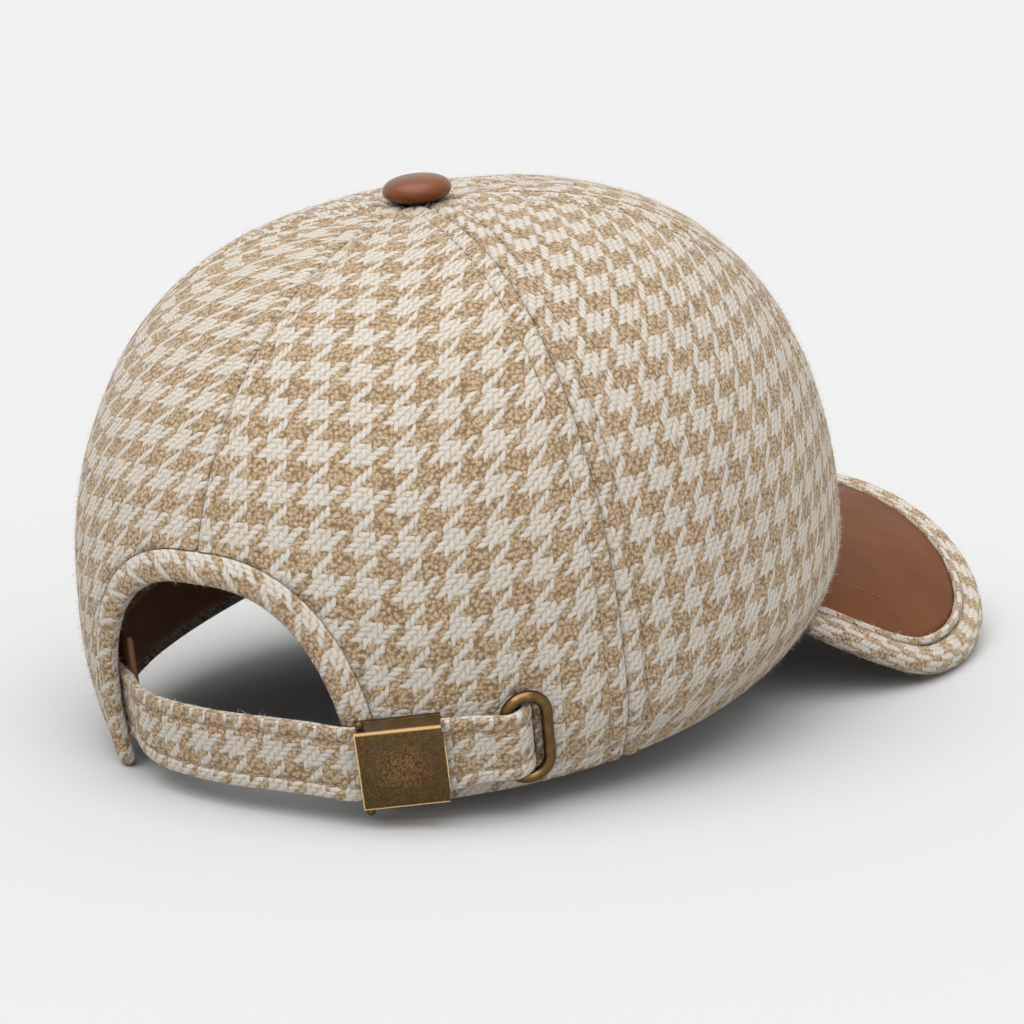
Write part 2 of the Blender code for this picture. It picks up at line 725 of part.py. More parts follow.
def strap_route():
    """Centre line of the strap, from its sewn end inside the left foot to its tail behind the ring."""
    half = STRAP_THICKNESS / 2.0
    inside_binding = -(CLOTH_WALL + BINDING_INNER_RISE + 2.0 * PIECE_GAP + half)
    across_arch = -half + PIECE_GAP
    over_binding = BINDING_RISE + PIECE_GAP + half
    foot = math.asin(ARCH_HALF_WIDTH / CROWN_HALF_WIDTH)
    rows = [
        # (turn as a share of the arch's half turn, distance outside the crown)
        (-1.45, inside_binding),
        (-1.15, inside_binding),
        (-0.92, 0.92 * inside_binding),
        (-0.65, 0.40 * inside_binding),
        (-0.35, across_arch),
        (0.10, across_arch),
        (0.50, 0.4 * across_arch),
        (0.78, 0.65 * over_binding),
    ]
    climb = climb_of(np.array(STRAP_MIDDLE_HEIGHT))
    points = [crown_at(np.array(share * foot), climb, np.array(proud)) for share, proud in rows]
    clasp = seat_frame(CLASP_TURN)
    level = clasp_levels()["strap"] + half
    for share in (0.62, 0.25, -0.25, -0.62):
        points.append(from_seat(clasp, (share * CLASP_LENGTH, level, 0.0)))
    between = (CLASP_TURN + RING_TURN) / 2.0 + math.radians(1.5)
    points.append(crown_at(np.array(between), climb, np.array(level)))
    ring = seat_frame(RING_TURN)
    bar = (RING_WIDTH - RING_WIRE) / 2.0
    over_bar = 2.0 * PIECE_GAP + RING_WIRE + half
    points.append(from_seat(ring, (bar, over_bar, 0.0)))
    line = list(through_points(points, 0.0042))
    bend = bar - 0.1 * half
    for degrees in (20, 40, 60, 80):
        angle = math.radians(degrees)
        across, out = bar - bend * math.sin(angle), over_bar - bend * (1.0 - math.cos(angle))
        line.append(from_seat(ring, (across, out, 0.0)))
    turn_in = CLOTH_WALL + 2.0 * PIECE_GAP + wall_bulge(RING_TURN) + half + over_bar - bend
    start = (bar - bend, over_bar - bend)
    for degrees in (10, 35, 60, 90):
        angle = math.radians(degrees)
        across = start[0] - turn_in * (1.0 - math.cos(angle))
        out = start[1] - turn_in * math.sin(angle)
        line.append(from_seat(ring, (across, out, 0.0)))
    line.append(from_seat(ring, (start[0] - turn_in - bar / 2.0, start[1] - turn_in - PIECE_GAP, 0.0)))
    return np.array(line)


def strap(parent):
    """The flat strap with soft edges, a little narrower towards its tail."""
    line = strap_route()
    tangents = unit(np.gradient(line, axis=0))
    turns = np.array([turn_of(point) for point in line])
    chords = np.array([wall_chord(turn) for turn in turns])
    up = unit(chords[:, 2] - chords[:, 0])
    ring = seat_frame(RING_TURN)
    near_ring = smooth_step((turns - CLASP_TURN) / (RING_TURN - CLASP_TURN) * 2.0 - 0.6)[:, None]
    up = unit(up * (1.0 - near_ring) + ring[:3, 2] * near_ring)
    outward = unit(np.cross(tangents, up))
    widths = STRAP_WIDTH + (STRAP_TAIL_WIDTH - STRAP_WIDTH) * near_ring[:, 0]
    cut = STRAP_ROUNDING
    half = STRAP_THICKNESS / 2.0
    sections = []
    for width in widths:
        edge = width / 2.0
        quarter = [(edge, half - cut), (edge - cut, half)]
        loop = quarter + [(-a, b) for a, b in reversed(quarter)]
        sections.append(np.array(loop + [(a, -b) for a, b in reversed(loop)]))
    return add_piece("strap", *swept_solid(line, up, outward, sections), WOOL, parent)


def clasp_sizes():
    """Half height of the clasp, and the pin's place along it."""
    half_height = STRAP_WIDTH / 2.0 + CLASP_SIDE_GAP + CLASP_METAL
    return half_height, CLASP_LENGTH / 2.0 - PIN_SETBACK


def round_ended_tab(centre, radius, foot):
    """Outline of a tab with a half-round end about the centre, running to the foot level."""
    outline = [(centre[0] - radius, foot), (centre[0] + radius, foot)]
    sign = 1.0 if foot < centre[1] else -1.0
    steps = 8
    for step in range(steps + 1):
        angle = math.pi * step / steps
        outline.append((centre[0] + radius * math.cos(angle), centre[1] + sign * radius * math.sin(angle)))
    return outline


def pin_bore(name, pin_x, level, parent, offset=(0.0, 0.0)):
    """A helper that bores the pin's hole through a whole clasp piece."""
    radius = PIN_DIAMETER / 2.0 + KNUCKLE_BORE_GAP
    outline = [
        (
            pin_x + offset[0] + radius * math.cos(2.0 * math.pi * k / 12),
            level + offset[1] + radius * math.sin(2.0 * math.pi * k / 12),
        )
        for k in range(12)
    ]
    return add_helper(name, *prism_solid(outline, -STRAP_WIDTH, STRAP_WIDTH, "z"), parent)


def clasp_frame(parent):
    """The back plate under the strap, with low rims and two ears for the pin."""
    half_height, pin_x = clasp_sizes()
    levels = clasp_levels()
    low = levels["frame"]
    inner = half_height - CLASP_METAL
    outline = [
        (low, -half_height),
        (low + CLASP_RIM, -half_height),
        (low + CLASP_RIM, -inner),
        (low + CLASP_METAL, -inner),
        (low + CLASP_METAL, inner),
        (low + CLASP_RIM, inner),
        (low + CLASP_RIM, half_height),
        (low, half_height),
    ]
    half_length = CLASP_LENGTH / 2.0
    piece = add_piece(
        "clasp_frame", *prism_solid(outline, -half_length, half_length, "x"), ANTIQUE_BRASS, parent, smooth=False
    )
    ear = round_ended_tab((pin_x, levels["pin"]), KNUCKLE_RADIUS, low + CLASP_METAL / 3.0)
    for side, (start, end) in {"top": (inner, half_height), "bottom": (-half_height, -inner)}.items():
        join_with(piece, add_helper(f"ear_{side}", *prism_solid(ear, start, end, "z"), parent), "UNION")
    join_with(piece, pin_bore("frame_bore", pin_x, levels["pin"], parent), "DIFFERENCE")
    return piece


def clasp_lid(parent):
    """The lid: a plate with folded top and bottom edges and two knuckles, its origin on the pin's axis."""
    half_height, pin_x = clasp_sizes()
    levels = clasp_levels()
    pin_level = levels["pin"]
    hinge = add_empty("clasp_hinge", parent, Matrix.Translation((pin_x, pin_level, 0.0)))
    top = levels["lid"] + CLASP_METAL - pin_level
    under = levels["lid"] - pin_level
    flange_low = levels["frame"] + CLASP_RIM + PIECE_GAP - pin_level
    inner = half_height - CLASP_METAL
    fold = CLASP_METAL
    outline = [
        (flange_low, -half_height),
        (top - fold, -half_height),
        (top - 0.3 * fold, -half_height + 0.3 * fold),
        (top, -half_height + fold),
        (top, half_height - fold),
        (top - 0.3 * fold, half_height - 0.3 * fold),
        (top - fold, half_height),
        (flange_low, half_height),
        (flange_low, inner),
        (under, inner),
        (under, -inner),
        (flange_low, -inner),
    ]
    right = -(CLASP_LENGTH - PIN_SETBACK)
    flange_end = -(KNUCKLE_RADIUS + PIECE_GAP)
    piece = add_piece(
        "clasp_lid", *prism_solid(outline, right, flange_end, "x"), ANTIQUE_BRASS, hinge, smooth=False
    )
    bulge_steps = 6
    plate = [(PIN_SETBACK, half_height), (PIN_SETBACK, -half_height)]
    for step in range(bulge_steps + 1):
        share = 2.0 * step / bulge_steps - 1.0
        plate.append((right - LID_EDGE_BULGE * (1.0 - share * share), share * half_height))
    plate_points = [(x, level, z) for level in (under, top - 0.02 * fold) for x, z in plate]
    count = len(plate)
    plate_faces = [tuple(range(count)), tuple(range(2 * count - 1, count - 1, -1))]
    plate_faces += [(k, (k + 1) % count, count + (k + 1) % count, count + k) for k in range(count)]
    join_with(piece, add_helper("lid_plate", plate_points, plate_faces, hinge), "UNION")
    knuckle = round_ended_tab((0.0, 0.0), KNUCKLE_RADIUS, (under + top) / 2.0)
    outside = inner - CLASP_SIDE_GAP
    for side, (start, end) in {
        "top": (outside - CLASP_METAL, outside),
        "bottom": (-outside, CLASP_METAL - outside),
    }.items():
        join_with(piece, add_helper(f"knuckle_{side}", *prism_solid(knuckle, start, end, "z"), hinge), "UNION")
    join_with(piece, pin_bore("lid_bore", 0.0, 0.0, hinge), "DIFFERENCE")
    return piece


def clasp_pin(parent):
    """The hinge pin with a ball head at each end."""
    half_height, pin_x = clasp_sizes()
    level = clasp_levels()["pin"]
    sides = 10
    ball = PIN_BALL_DIAMETER / 2.0
    centre = half_height + PIECE_GAP / 2.0 + ball * math.cos(math.asin(PIN_DIAMETER / PIN_BALL_DIAMETER))
    profile = []
    for step in range(6):
        angle = math.radians(90.0 - 27.0 * step)
        profile.append((ball * math.cos(angle), centre + ball * math.sin(angle)))
    profile = profile[1:]
    profile.append((PIN_DIAMETER / 2.0, half_height + PIECE_GAP / 2.0))
    profile += [(radius, -z) for radius, z in reversed(profile)]
    points = [
        (pin_x + radius * math.cos(2.0 * math.pi * k / sides), level + radius * math.sin(2.0 * math.pi * k / sides), z)
        for radius, z in profile
        for k in range(sides)
    ]
    points += [(pin_x, level, centre + ball), (pin_x, level, -centre - ball)]
    faces = []
    last = (len(profile) - 1) * sides
    for k in range(sides):
        after = (k + 1) % sides
        for ring in range(len(profile) - 1):
            first = ring * sides
            faces.append((first + k, first + after, first + sides + after, first + sides + k))
        faces.append((after, k, len(points) - 2))
        faces.append((last + k, last + after, len(points) - 1))
    return add_piece("clasp_pin", points, faces, ANTIQUE_BRASS, parent)


def strap_ring(parent):
    """The oval wire ring, standing flat on the crown."""
    bend = (RING_WIDTH - RING_WIRE) / 2.0
    straight = (RING_HEIGHT - RING_WIRE) / 2.0 - bend
    level = PIECE_GAP + RING_WIRE / 2.0
    stations = []
    for side, start in ((1.0, 0.0), (-1.0, math.pi)):
        for step in range(9):
            angle = start + math.pi * step / 8
            stations.append((bend * math.cos(angle), side * straight + bend * math.sin(angle), angle))
    sides = 10
    points = []
    for x, z, angle in stations:
        for k in range(sides):
            around = 2.0 * math.pi * k / sides
            out = RING_WIRE / 2.0 * math.cos(around)
            rise = RING_WIRE / 2.0 * math.sin(around)
            points.append((x + out * math.cos(angle), level + rise, z + out * math.sin(angle)))
    faces = []
    count = len(stations)
    for ring in range(count):
        first, second = ring * sides, (ring + 1) % count * sides
        for k in range(sides):
            after = (k + 1) % sides
            faces.append((first + k, first + after, second + after, second + k))
    return add_piece("strap_ring", points, faces, ANTIQUE_BRASS, parent)


def tail_slot(parent):
    """The helper that cuts the slot for the strap's tail, inside the ring."""
    half = STRAP_THICKNESS / 2.0
    bar = (RING_WIDTH - RING_WIRE) / 2.0
    low = (-(bar - RING_WIRE / 2.0) + 3.0 * PIECE_GAP, -4.0 * CLOTH_WALL, -STRAP_TAIL_WIDTH / 2.0 - SLOT_SIDE_GAP)
    high = (half + 2.0 * PIECE_GAP, 2.0 * CLOTH_WALL, STRAP_TAIL_WIDTH / 2.0 + SLOT_SIDE_GAP)
    return add_helper("tail_slot", *box_solid(low, high), parent)


# Resting place


def rest_cap(holder, pieces):
    """Tilts the cap until its rear feet and its peak touch the same level, then centres it over the floor."""
    graph = bpy.context.evaluated_depsgraph_get()
    points = np.concatenate(
        [
            np.array([piece.matrix_world @ vertex.co for vertex in piece.evaluated_get(graph).data.vertices])
            for piece in pieces
        ]
    )
    rear, front = points[points[:, 1] > 0.0], points[points[:, 1] <= 0.0]
    low, high = 0.0, math.radians(40.0)
    for _ in range(60):
        tilt = (low + high) / 2.0
        rear_low = (rear[:, 2] * math.cos(tilt) - rear[:, 1] * math.sin(tilt)).min()
        front_low = (front[:, 2] * math.cos(tilt) - front[:, 1] * math.sin(tilt)).min()
        low, high = (tilt, high) if front_low < rear_low else (low, tilt)
    turned = Matrix.Rotation(-tilt, 4, "X")
    placed = points @ np.array(turned.to_3x3()).T
    lowest, highest = placed.min(axis=0), placed.max(axis=0)
    middle = (lowest + highest) / 2.0
    holder.matrix_local = Matrix.Translation((-middle[0], -middle[1], -lowest[2])) @ turned


def main():
    """Builds every piece, then lays the cap down."""
    clear_scene()
    cap = add_empty("cap", None, Matrix.Identity(4))
    seam_turns = np.radians([0.0, 60.0, 120.0, 180.0, 240.0, 300.0, 360.0])
    names = ("back_right", "side_right", "front_right", "front_left", "side_left", "back_left")
    panels = {}
    for name, first, last in zip(names, seam_turns, seam_turns[1:]):
        panels[name] = crown_panel(f"panel_{name}", first, last, cap)
    lining = crown_lining(cap)
    plug = arch_plug(cap, "arch_plug")
    for piece in (panels["back_right"], panels["back_left"], lining):
        join_with(piece, plug, "DIFFERENCE")
    pieces = list(panels.values()) + [lining, back_binding(cap), sweatband(cap), button(cap)]
    leather_low = BOARD_THICKNESS - BOARD_UNDER + PIECE_GAP
    piping_inset, piping_proud = piping_place()
    leather_inset = piping_inset + PIPING_DIAMETER / 2.0 + PIECE_GAP
    pieces.append(peak_sheet("peak_leather", leather_inset, leather_low, peak_top(), PEAK_LEATHER, cap))
    tube = PEAK_BINDING_DIAMETER
    board_inset = tube / 2.0 + PIECE_GAP
    pieces.append(peak_sheet("peak_board", board_inset, -BOARD_UNDER, BOARD_THICKNESS - BOARD_UNDER, WOOL, cap))
    pieces.append(rim_tube("peak_binding", 0.0, 0.0, tube, 0.3 * tube, 10, tube, cap))
    cord = PIPING_DIAMETER
    pieces.append(rim_tube("peak_piping", piping_inset, piping_proud, cord, 0.3 * cord, 6, 2.0 * cord, cap))
    pieces.append(strap(cap))
    clasp_seat = add_empty("clasp_seat", cap, Matrix(seat_frame(CLASP_TURN).tolist()))
    pieces += [clasp_frame(clasp_seat), clasp_lid(clasp_seat), clasp_pin(clasp_seat)]
    ring_seat = add_empty("ring_seat", cap, Matrix(seat_frame(RING_TURN).tolist()))
    pieces.append(strap_ring(ring_seat))
    join_with(panels["back_right"], tail_slot(ring_seat), "DIFFERENCE")
    bpy.context.view_layer.update()
    rest_cap(cap, pieces)
    bpy.context.view_layer.update()


main()
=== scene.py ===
"""Dresses the houndstooth cap: wool panels, padded bindings, leather peak, strap, brass clasp and ring.

The shapes are worked out in the cap's own frame, with its lower edge near Z = 0 and its peak towards -Y.
Turns are angles about Z from the middle of the back towards the wearer's right. Every mesh is then
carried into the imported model's frame, where the cap leans back on its rear feet.
"""

import logging
import math
from collections.abc import Sequence
from dataclasses import dataclass, field
from enum import Enum
from typing import Protocol, Union

import bmesh
import bpy
import numpy as np
from mathutils import Matrix, Vector


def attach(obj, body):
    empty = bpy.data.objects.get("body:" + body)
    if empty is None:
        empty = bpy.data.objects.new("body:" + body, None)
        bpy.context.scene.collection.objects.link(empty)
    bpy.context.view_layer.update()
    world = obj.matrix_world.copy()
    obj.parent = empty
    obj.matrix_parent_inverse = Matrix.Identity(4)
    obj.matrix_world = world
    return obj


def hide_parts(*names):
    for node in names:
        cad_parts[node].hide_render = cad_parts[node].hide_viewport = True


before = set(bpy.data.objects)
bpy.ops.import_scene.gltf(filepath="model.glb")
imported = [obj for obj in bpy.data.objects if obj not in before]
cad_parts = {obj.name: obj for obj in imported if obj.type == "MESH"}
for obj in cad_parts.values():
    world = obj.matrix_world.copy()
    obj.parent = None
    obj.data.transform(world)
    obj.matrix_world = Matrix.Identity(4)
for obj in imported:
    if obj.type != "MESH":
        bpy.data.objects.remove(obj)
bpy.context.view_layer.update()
LOG = logging.getLogger("cap")
MM = 0.001
CAP_BODY = "cap"
LID_BODY = "clasp_lid"
Colour = tuple[float, float, float]
Faces = list[tuple[int, ...]]
Material = bpy.types.Material
Mesh = bpy.types.Mesh
Operand = Union["Signal", float]
Piece = bpy.types.Object
Socket = bpy.types.NodeSocket
Tree = bpy.types.NodeTree


class Side(Enum):
    """The wearer's side that a detail lies on."""

    LEFT = -1.0
    RIGHT = 1.0


class Cut(Enum):
    """How a cloth piece is cut from the woven wool: along its yarns or across them at an angle."""

    STRAIGHT = 0.0
    BIAS = 45.0


# Shader maths


class Signal:
    """A shader socket whose Python operators add Math nodes."""

    def __init__(self, tree: Tree, socket: Socket) -> None:
        """Wraps a socket.

        Args:
            tree: The material's node tree.
            socket: The output socket to read.
        """
        self.tree = tree
        self.socket = socket

    def step(self, operation: str, *others: Operand, swap: bool = False, hold: bool = False) -> "Signal":
        """Adds one Math node.

        Args:
            operation: The Math node's operation.
            others: The further operands.
            swap: Whether the first other operand comes before this one.
            hold: Whether the result is held between 0 and 1.

        Returns:
            The result.
        """
        node = self.tree.nodes.new("ShaderNodeMath")
        node.operation = operation
        node.use_clamp = hold
        operands: list[Operand] = [self, *others]
        if swap:
            operands[0], operands[1] = operands[1], operands[0]
        for place, operand in enumerate(operands):
            if isinstance(operand, Signal):
                self.tree.links.new(operand.socket, node.inputs[place])
            else:
                node.inputs[place].default_value = float(operand)
        return Signal(self.tree, node.outputs[0])

    def __add__(self, other: Operand) -> "Signal":
        """The sum."""
        return self.step("ADD", other)

    __radd__ = __add__

    def __sub__(self, other: Operand) -> "Signal":
        """The difference."""
        return self.step("SUBTRACT", other)

    def __rsub__(self, other: Operand) -> "Signal":
        """The difference, from the other operand."""
        return self.step("SUBTRACT", other, swap=True)

    def __mul__(self, other: Operand) -> "Signal":
        """The product."""
        return self.step("MULTIPLY", other)

    __rmul__ = __mul__

    def __truediv__(self, other: Operand) -> "Signal":
        """The quotient."""
        return self.step("DIVIDE", other)

    def __pow__(self, other: Operand) -> "Signal":
        """The power."""
        return self.step("POWER", other)

    def __mod__(self, other: Operand) -> "Signal":
        """The remainder, never negative."""
        return self.step("FLOORED_MODULO", other)

    def __lt__(self, other: Operand) -> "Signal":
        """1 where this is less than the other."""
        return self.step("LESS_THAN", other)

    def __gt__(self, other: Operand) -> "Signal":
        """1 where this is greater than the other."""
        return self.step("GREATER_THAN", other)

    def floor(self) -> "Signal":
        """The whole part."""
        return self.step("FLOOR")

    def held(self) -> "Signal":
        """The value held between 0 and 1."""
        return self.step("ADD", 0.0, hold=True)

    def ramp(self, low: float, high: float) -> "Signal":
        """The value's place between two levels, held between 0 and 1.

        Args:
            low: The level that gives 0.
            high: The level that gives 1.

        Returns:
            The share.
        """
        return (self - low).step("DIVIDE", high - low, hold=True)


class NodeKit:
    """Adds nodes to a tree and feeds their inputs."""

    def __init__(self, tree: Tree) -> None:
        """Takes the tree."""
        self.tree = tree

    def feed(self, socket: Socket, value: object) -> None:
        """Sets or links one input.

        Args:
            socket: The input socket.
            value: A number, a colour, a signal or an output socket.
        """
        if isinstance(value, Signal):
            self.tree.links.new(value.socket, socket)
        elif isinstance(value, Socket):
            self.tree.links.new(value, socket)
        elif isinstance(value, tuple) and socket.type == "RGBA":
            socket.default_value = (*value[:3], 1.0)
        else:
            socket.default_value = value

    def node(
        self,
        kind: str,
        settings: dict[str, object] | None = None,
        inputs: dict[str | int, object] | None = None,
    ) -> bpy.types.Node:
        """Adds any node.

        Args:
            kind: The node's type name.
            settings: Its own settings, which are set first.
            inputs: The values, signals or sockets of its inputs.

        Returns:
            The node.
        """
        node = self.tree.nodes.new(kind)
        for name, setting in (settings or {}).items():
            setattr(node, name, setting)
        for name, value in (inputs or {}).items():
            self.feed(node.inputs[name], value)
        return node


class Recipe(NodeKit):
    """A material under construction, with its Principled shader."""

    def __init__(self, name: str) -> None:
        """Starts the material.

        Args:
            name: The material's name.
        """
        self.material = bpy.data.materials.new(name)
        self.material.use_nodes = True
        super().__init__(self.material.node_tree)
        self.shader = self.tree.nodes["Principled BSDF"]

    def signal(self, socket: Socket) -> Signal:
        """The socket as a signal."""
        return Signal(self.tree, socket)

    def place(self) -> Socket:
        """The place in the object's own coordinates, in metres."""
        return self.node("ShaderNodeTexCoord").outputs["Object"]

    def flat(self, layer: str) -> tuple[Signal, Signal]:
        """The place on the flat piece, in metres.

        Args:
            layer: The name of the piece's UV map.

        Returns:
            The two coordinates.
        """
        source = self.node("ShaderNodeUVMap", {"uv_map": layer}).outputs[0]
        parts = self.node("ShaderNodeSeparateXYZ", None, {0: source})
        return self.signal(parts.outputs[0]), self.signal(parts.outputs[1])

    def noise(self, scale: float, detail: float = 2.0, roughness: float = 0.5) -> Signal:
        """Soft noise between 0 and 1 over the object's coordinates.

        Args:
            scale: Features per metre.
            detail: Octaves.
            roughness: Share kept by each octave.

        Returns:
            The noise.
        """
        made = self.node(
            "ShaderNodeTexNoise",
            None,
            {"Vector": self.place(), "Scale": scale, "Detail": detail, "Roughness": roughness},
        )
        return self.signal(made.outputs[0])

    def cells(self, scale: float) -> Signal:
        """Distance to the nearest of the scattered cell centres.

        Args:
            scale: Cells per metre.

        Returns:
            The distance as a share of a cell.
        """
        made = self.node("ShaderNodeTexVoronoi", None, {"Vector": self.place(), "Scale": scale})
        return self.signal(made.outputs["Distance"])

    def facing(self, bias: float) -> Signal:
        """How far the surface turns away from the eye, from 0 to 1."""
        made = self.node("ShaderNodeLayerWeight", None, {"Blend": bias})
        return self.signal(made.outputs["Facing"])

    def blend(self, share: Signal, first: object, second: object) -> Socket:
        """Mixes two colours.

        Args:
            share: The share of the second colour.
            first: A colour or a socket.
            second: A colour or a socket.

        Returns:
            The mixed colour's socket.
        """
        mix = self.node("ShaderNodeMix", {"data_type": "RGBA"}, {0: share, 6: first, 7: second})
        return mix.outputs[2]

    def shade(self, colour: object, share: Signal) -> Socket:
        """Darkens a colour.

        Args:
            colour: A colour or a socket.
            share: The share of the colour that stays.

        Returns:
            The darker colour's socket.
        """
        return self.blend(share, (0.0, 0.0, 0.0), colour)

    def relief(self, height: Signal, depth: float, strength: float = 1.0) -> None:
        """Raises the surface by a height.

        Args:
            height: The height, from 0 to 1.
            depth: The height's full size in metres.
            strength: How much of it is felt.
        """
        bump = self.node("ShaderNodeBump", None, {"Strength": strength, "Distance": depth, "Height": height})
        self.tree.links.new(bump.outputs[0], self.shader.inputs["Normal"])

    def finish(self, **sockets: object) -> Material:
        """Sets the shader's sockets.

        Args:
            sockets: Values by socket name, with underscores for spaces.

        Returns:
            The finished material.
        """
        for name, value in sockets.items():
            self.feed(self.shader.inputs[name.replace("_", " ")], value)
        return self.material


# Finishes


@dataclass(frozen=True)
class HoundstoothWool:
    """Woolly two-by-two twill of four light and four dark yarns each way, which makes the houndstooth, with
    painted shade in the gaps between the yarns.
    """

    name: str = "houndstooth_wool"
    yarn: float = 1.19 * MM
    light: Colour = (0.435, 0.40, 0.355)
    light_deep: Colour = (0.40, 0.365, 0.315)
    # The two gap colours are painted shade where the yarns dip between each other.
    light_gap_shade: Colour = (0.285, 0.235, 0.175)
    dark: Colour = (0.415, 0.32, 0.217)
    dark_deep: Colour = (0.33, 0.24, 0.148)
    dark_gap_shade: Colour = (0.175, 0.112, 0.057)
    slant: float = 0.42
    knot: float = 0.86 * MM

    def make(self) -> Material:
        """Builds the material.

        Returns:
            The material, which reads the piece's weave map.
        """
        recipe = Recipe(self.name)
        across, up = recipe.flat("weave")
        across = across / self.yarn + (recipe.noise(250.0) - 0.5) * 0.4 + (recipe.noise(1500.0) - 0.5) * 0.6
        up = up / self.yarn + (recipe.noise(220.0) - 0.5) * 0.4 + (recipe.noise(1700.0) - 0.5) * 0.6
        column, row = across.floor(), up.floor()
        in_column, in_row = across - column, up - row
        turn = (column - row) % 4.0
        warp = turn < 1.5
        weft = 1.0 - warp
        side = warp * in_column + weft * in_row - 0.5
        run = (warp * (1.0 - turn % 2.0 + in_row) + weft * (turn % 2.0 + in_column)) * 0.5 - 0.5
        column_dark, row_dark = (column % 8.0) > 3.5, (row % 8.0) > 3.5
        over = warp * column_dark + weft * row_dark
        under = weft * column_dark + warp * row_dark
        lean = (side - run * self.slant) * 2.05
        oval_share = 1.0 - lean * lean - (run * 1.9) ** 2.0
        shown = oval_share.ramp(-0.12, 0.1)
        dark = over * shown + under * (1.0 - shown)
        float_height = oval_share.held() ** 0.55
        knots = 1.0 - (recipe.cells(1.0 / self.knot) * 1.35) ** 1.6
        fibre = recipe.noise(4200.0, 3.0, 0.7)
        height = float_height * (0.62 - dark * 0.34) + knots * (dark * 0.34 + 0.3) + (fibre - 0.5) * 0.45
        cloud = recipe.noise(800.0, 3.0, 0.6)
        light = recipe.blend(cloud.ramp(0.35, 0.7), self.light, self.light_deep)
        # Painted shade: where the yarns dip into the gaps, the colour darkens towards the gap shade colours.
        light = recipe.blend(1.0 - height.ramp(-0.05, 0.5), light, self.light_gap_shade)
        tan = recipe.blend(cloud.ramp(0.35, 0.65), self.dark, self.dark_deep)
        tan = recipe.blend(1.0 - height.ramp(0.12, 0.7), tan, self.dark_gap_shade)
        colour = recipe.blend(dark, light, tan)
        recipe.relief(height * (dark * 0.4 + 0.6), 0.5 * MM, 0.8)
        return recipe.finish(
            Base_Color=colour,
            Roughness=0.95,
            Sheen_Weight=0.12,
            Sheen_Roughness=0.5,
            Sheen_Tint=(0.9, 0.85, 0.78),
            Specular_IOR_Level=0.15,
        )


@dataclass(frozen=True)
class Leather:
    """Smooth leather with a fine grain."""

    name: str
    colour: Colour
    deep: Colour
    roughness: float = 0.45
    grain: float = 0.45 * MM
    grain_depth: float = 0.05 * MM
    specular: float = 0.4

    def make(self) -> Material:
        """Builds the material.

        Returns:
            The material.
        """
        recipe = Recipe(self.name)
        cloud = recipe.noise(55.0, 4.0, 0.6)
        pores = recipe.cells(1.0 / self.grain)
        fine = recipe.noise(2.2 / self.grain, 3.0, 0.6)
        colour = recipe.blend((cloud * 0.8 + fine * 0.35 - 0.1).ramp(0.25, 0.75), self.colour, self.deep)
        recipe.relief(pores * 0.7 + fine * 0.6, self.grain_depth, 0.7)
        return recipe.finish(
            Base_Color=colour,
            Roughness=(cloud - 0.5) * 0.14 + fine * 0.08 + (self.roughness - 0.04),
            Specular_IOR_Level=self.specular,
        )


@dataclass(frozen=True)
class LiningCloth:
    """Dark plain-woven lining with a tan tape beside the arch."""

    name: str = "lining_cloth"
    colour: Colour = (0.026, 0.015, 0.008)
    tape: Colour = (0.34, 0.19, 0.10)
    tape_width: float = 9.0 * MM
    thread: float = 0.35 * MM

    def make(self) -> Material:
        """Builds the material.

        Returns:
            The material, which reads the distance from the arch out of the tape map.
        """
        recipe = Recipe(self.name)
        across, up = recipe.flat("weave")
        from_arch, _ = recipe.flat("tape")
        cell = ((across / self.thread).floor() + (up / self.thread).floor()) % 2.0
        fine = recipe.noise(3000.0, 3.0)
        tape = 1.0 - from_arch.ramp(self.tape_width, self.tape_width + 0.3 * MM)
        colour = recipe.blend(tape, self.colour, self.tape)
        colour = recipe.shade(colour, fine * 0.5 + 0.6)
        recipe.relief(cell * 0.5 + fine * 0.5, 0.12 * MM, 0.6)
        return recipe.finish(Base_Color=colour, Roughness=0.85, Specular_IOR_Level=0.25)


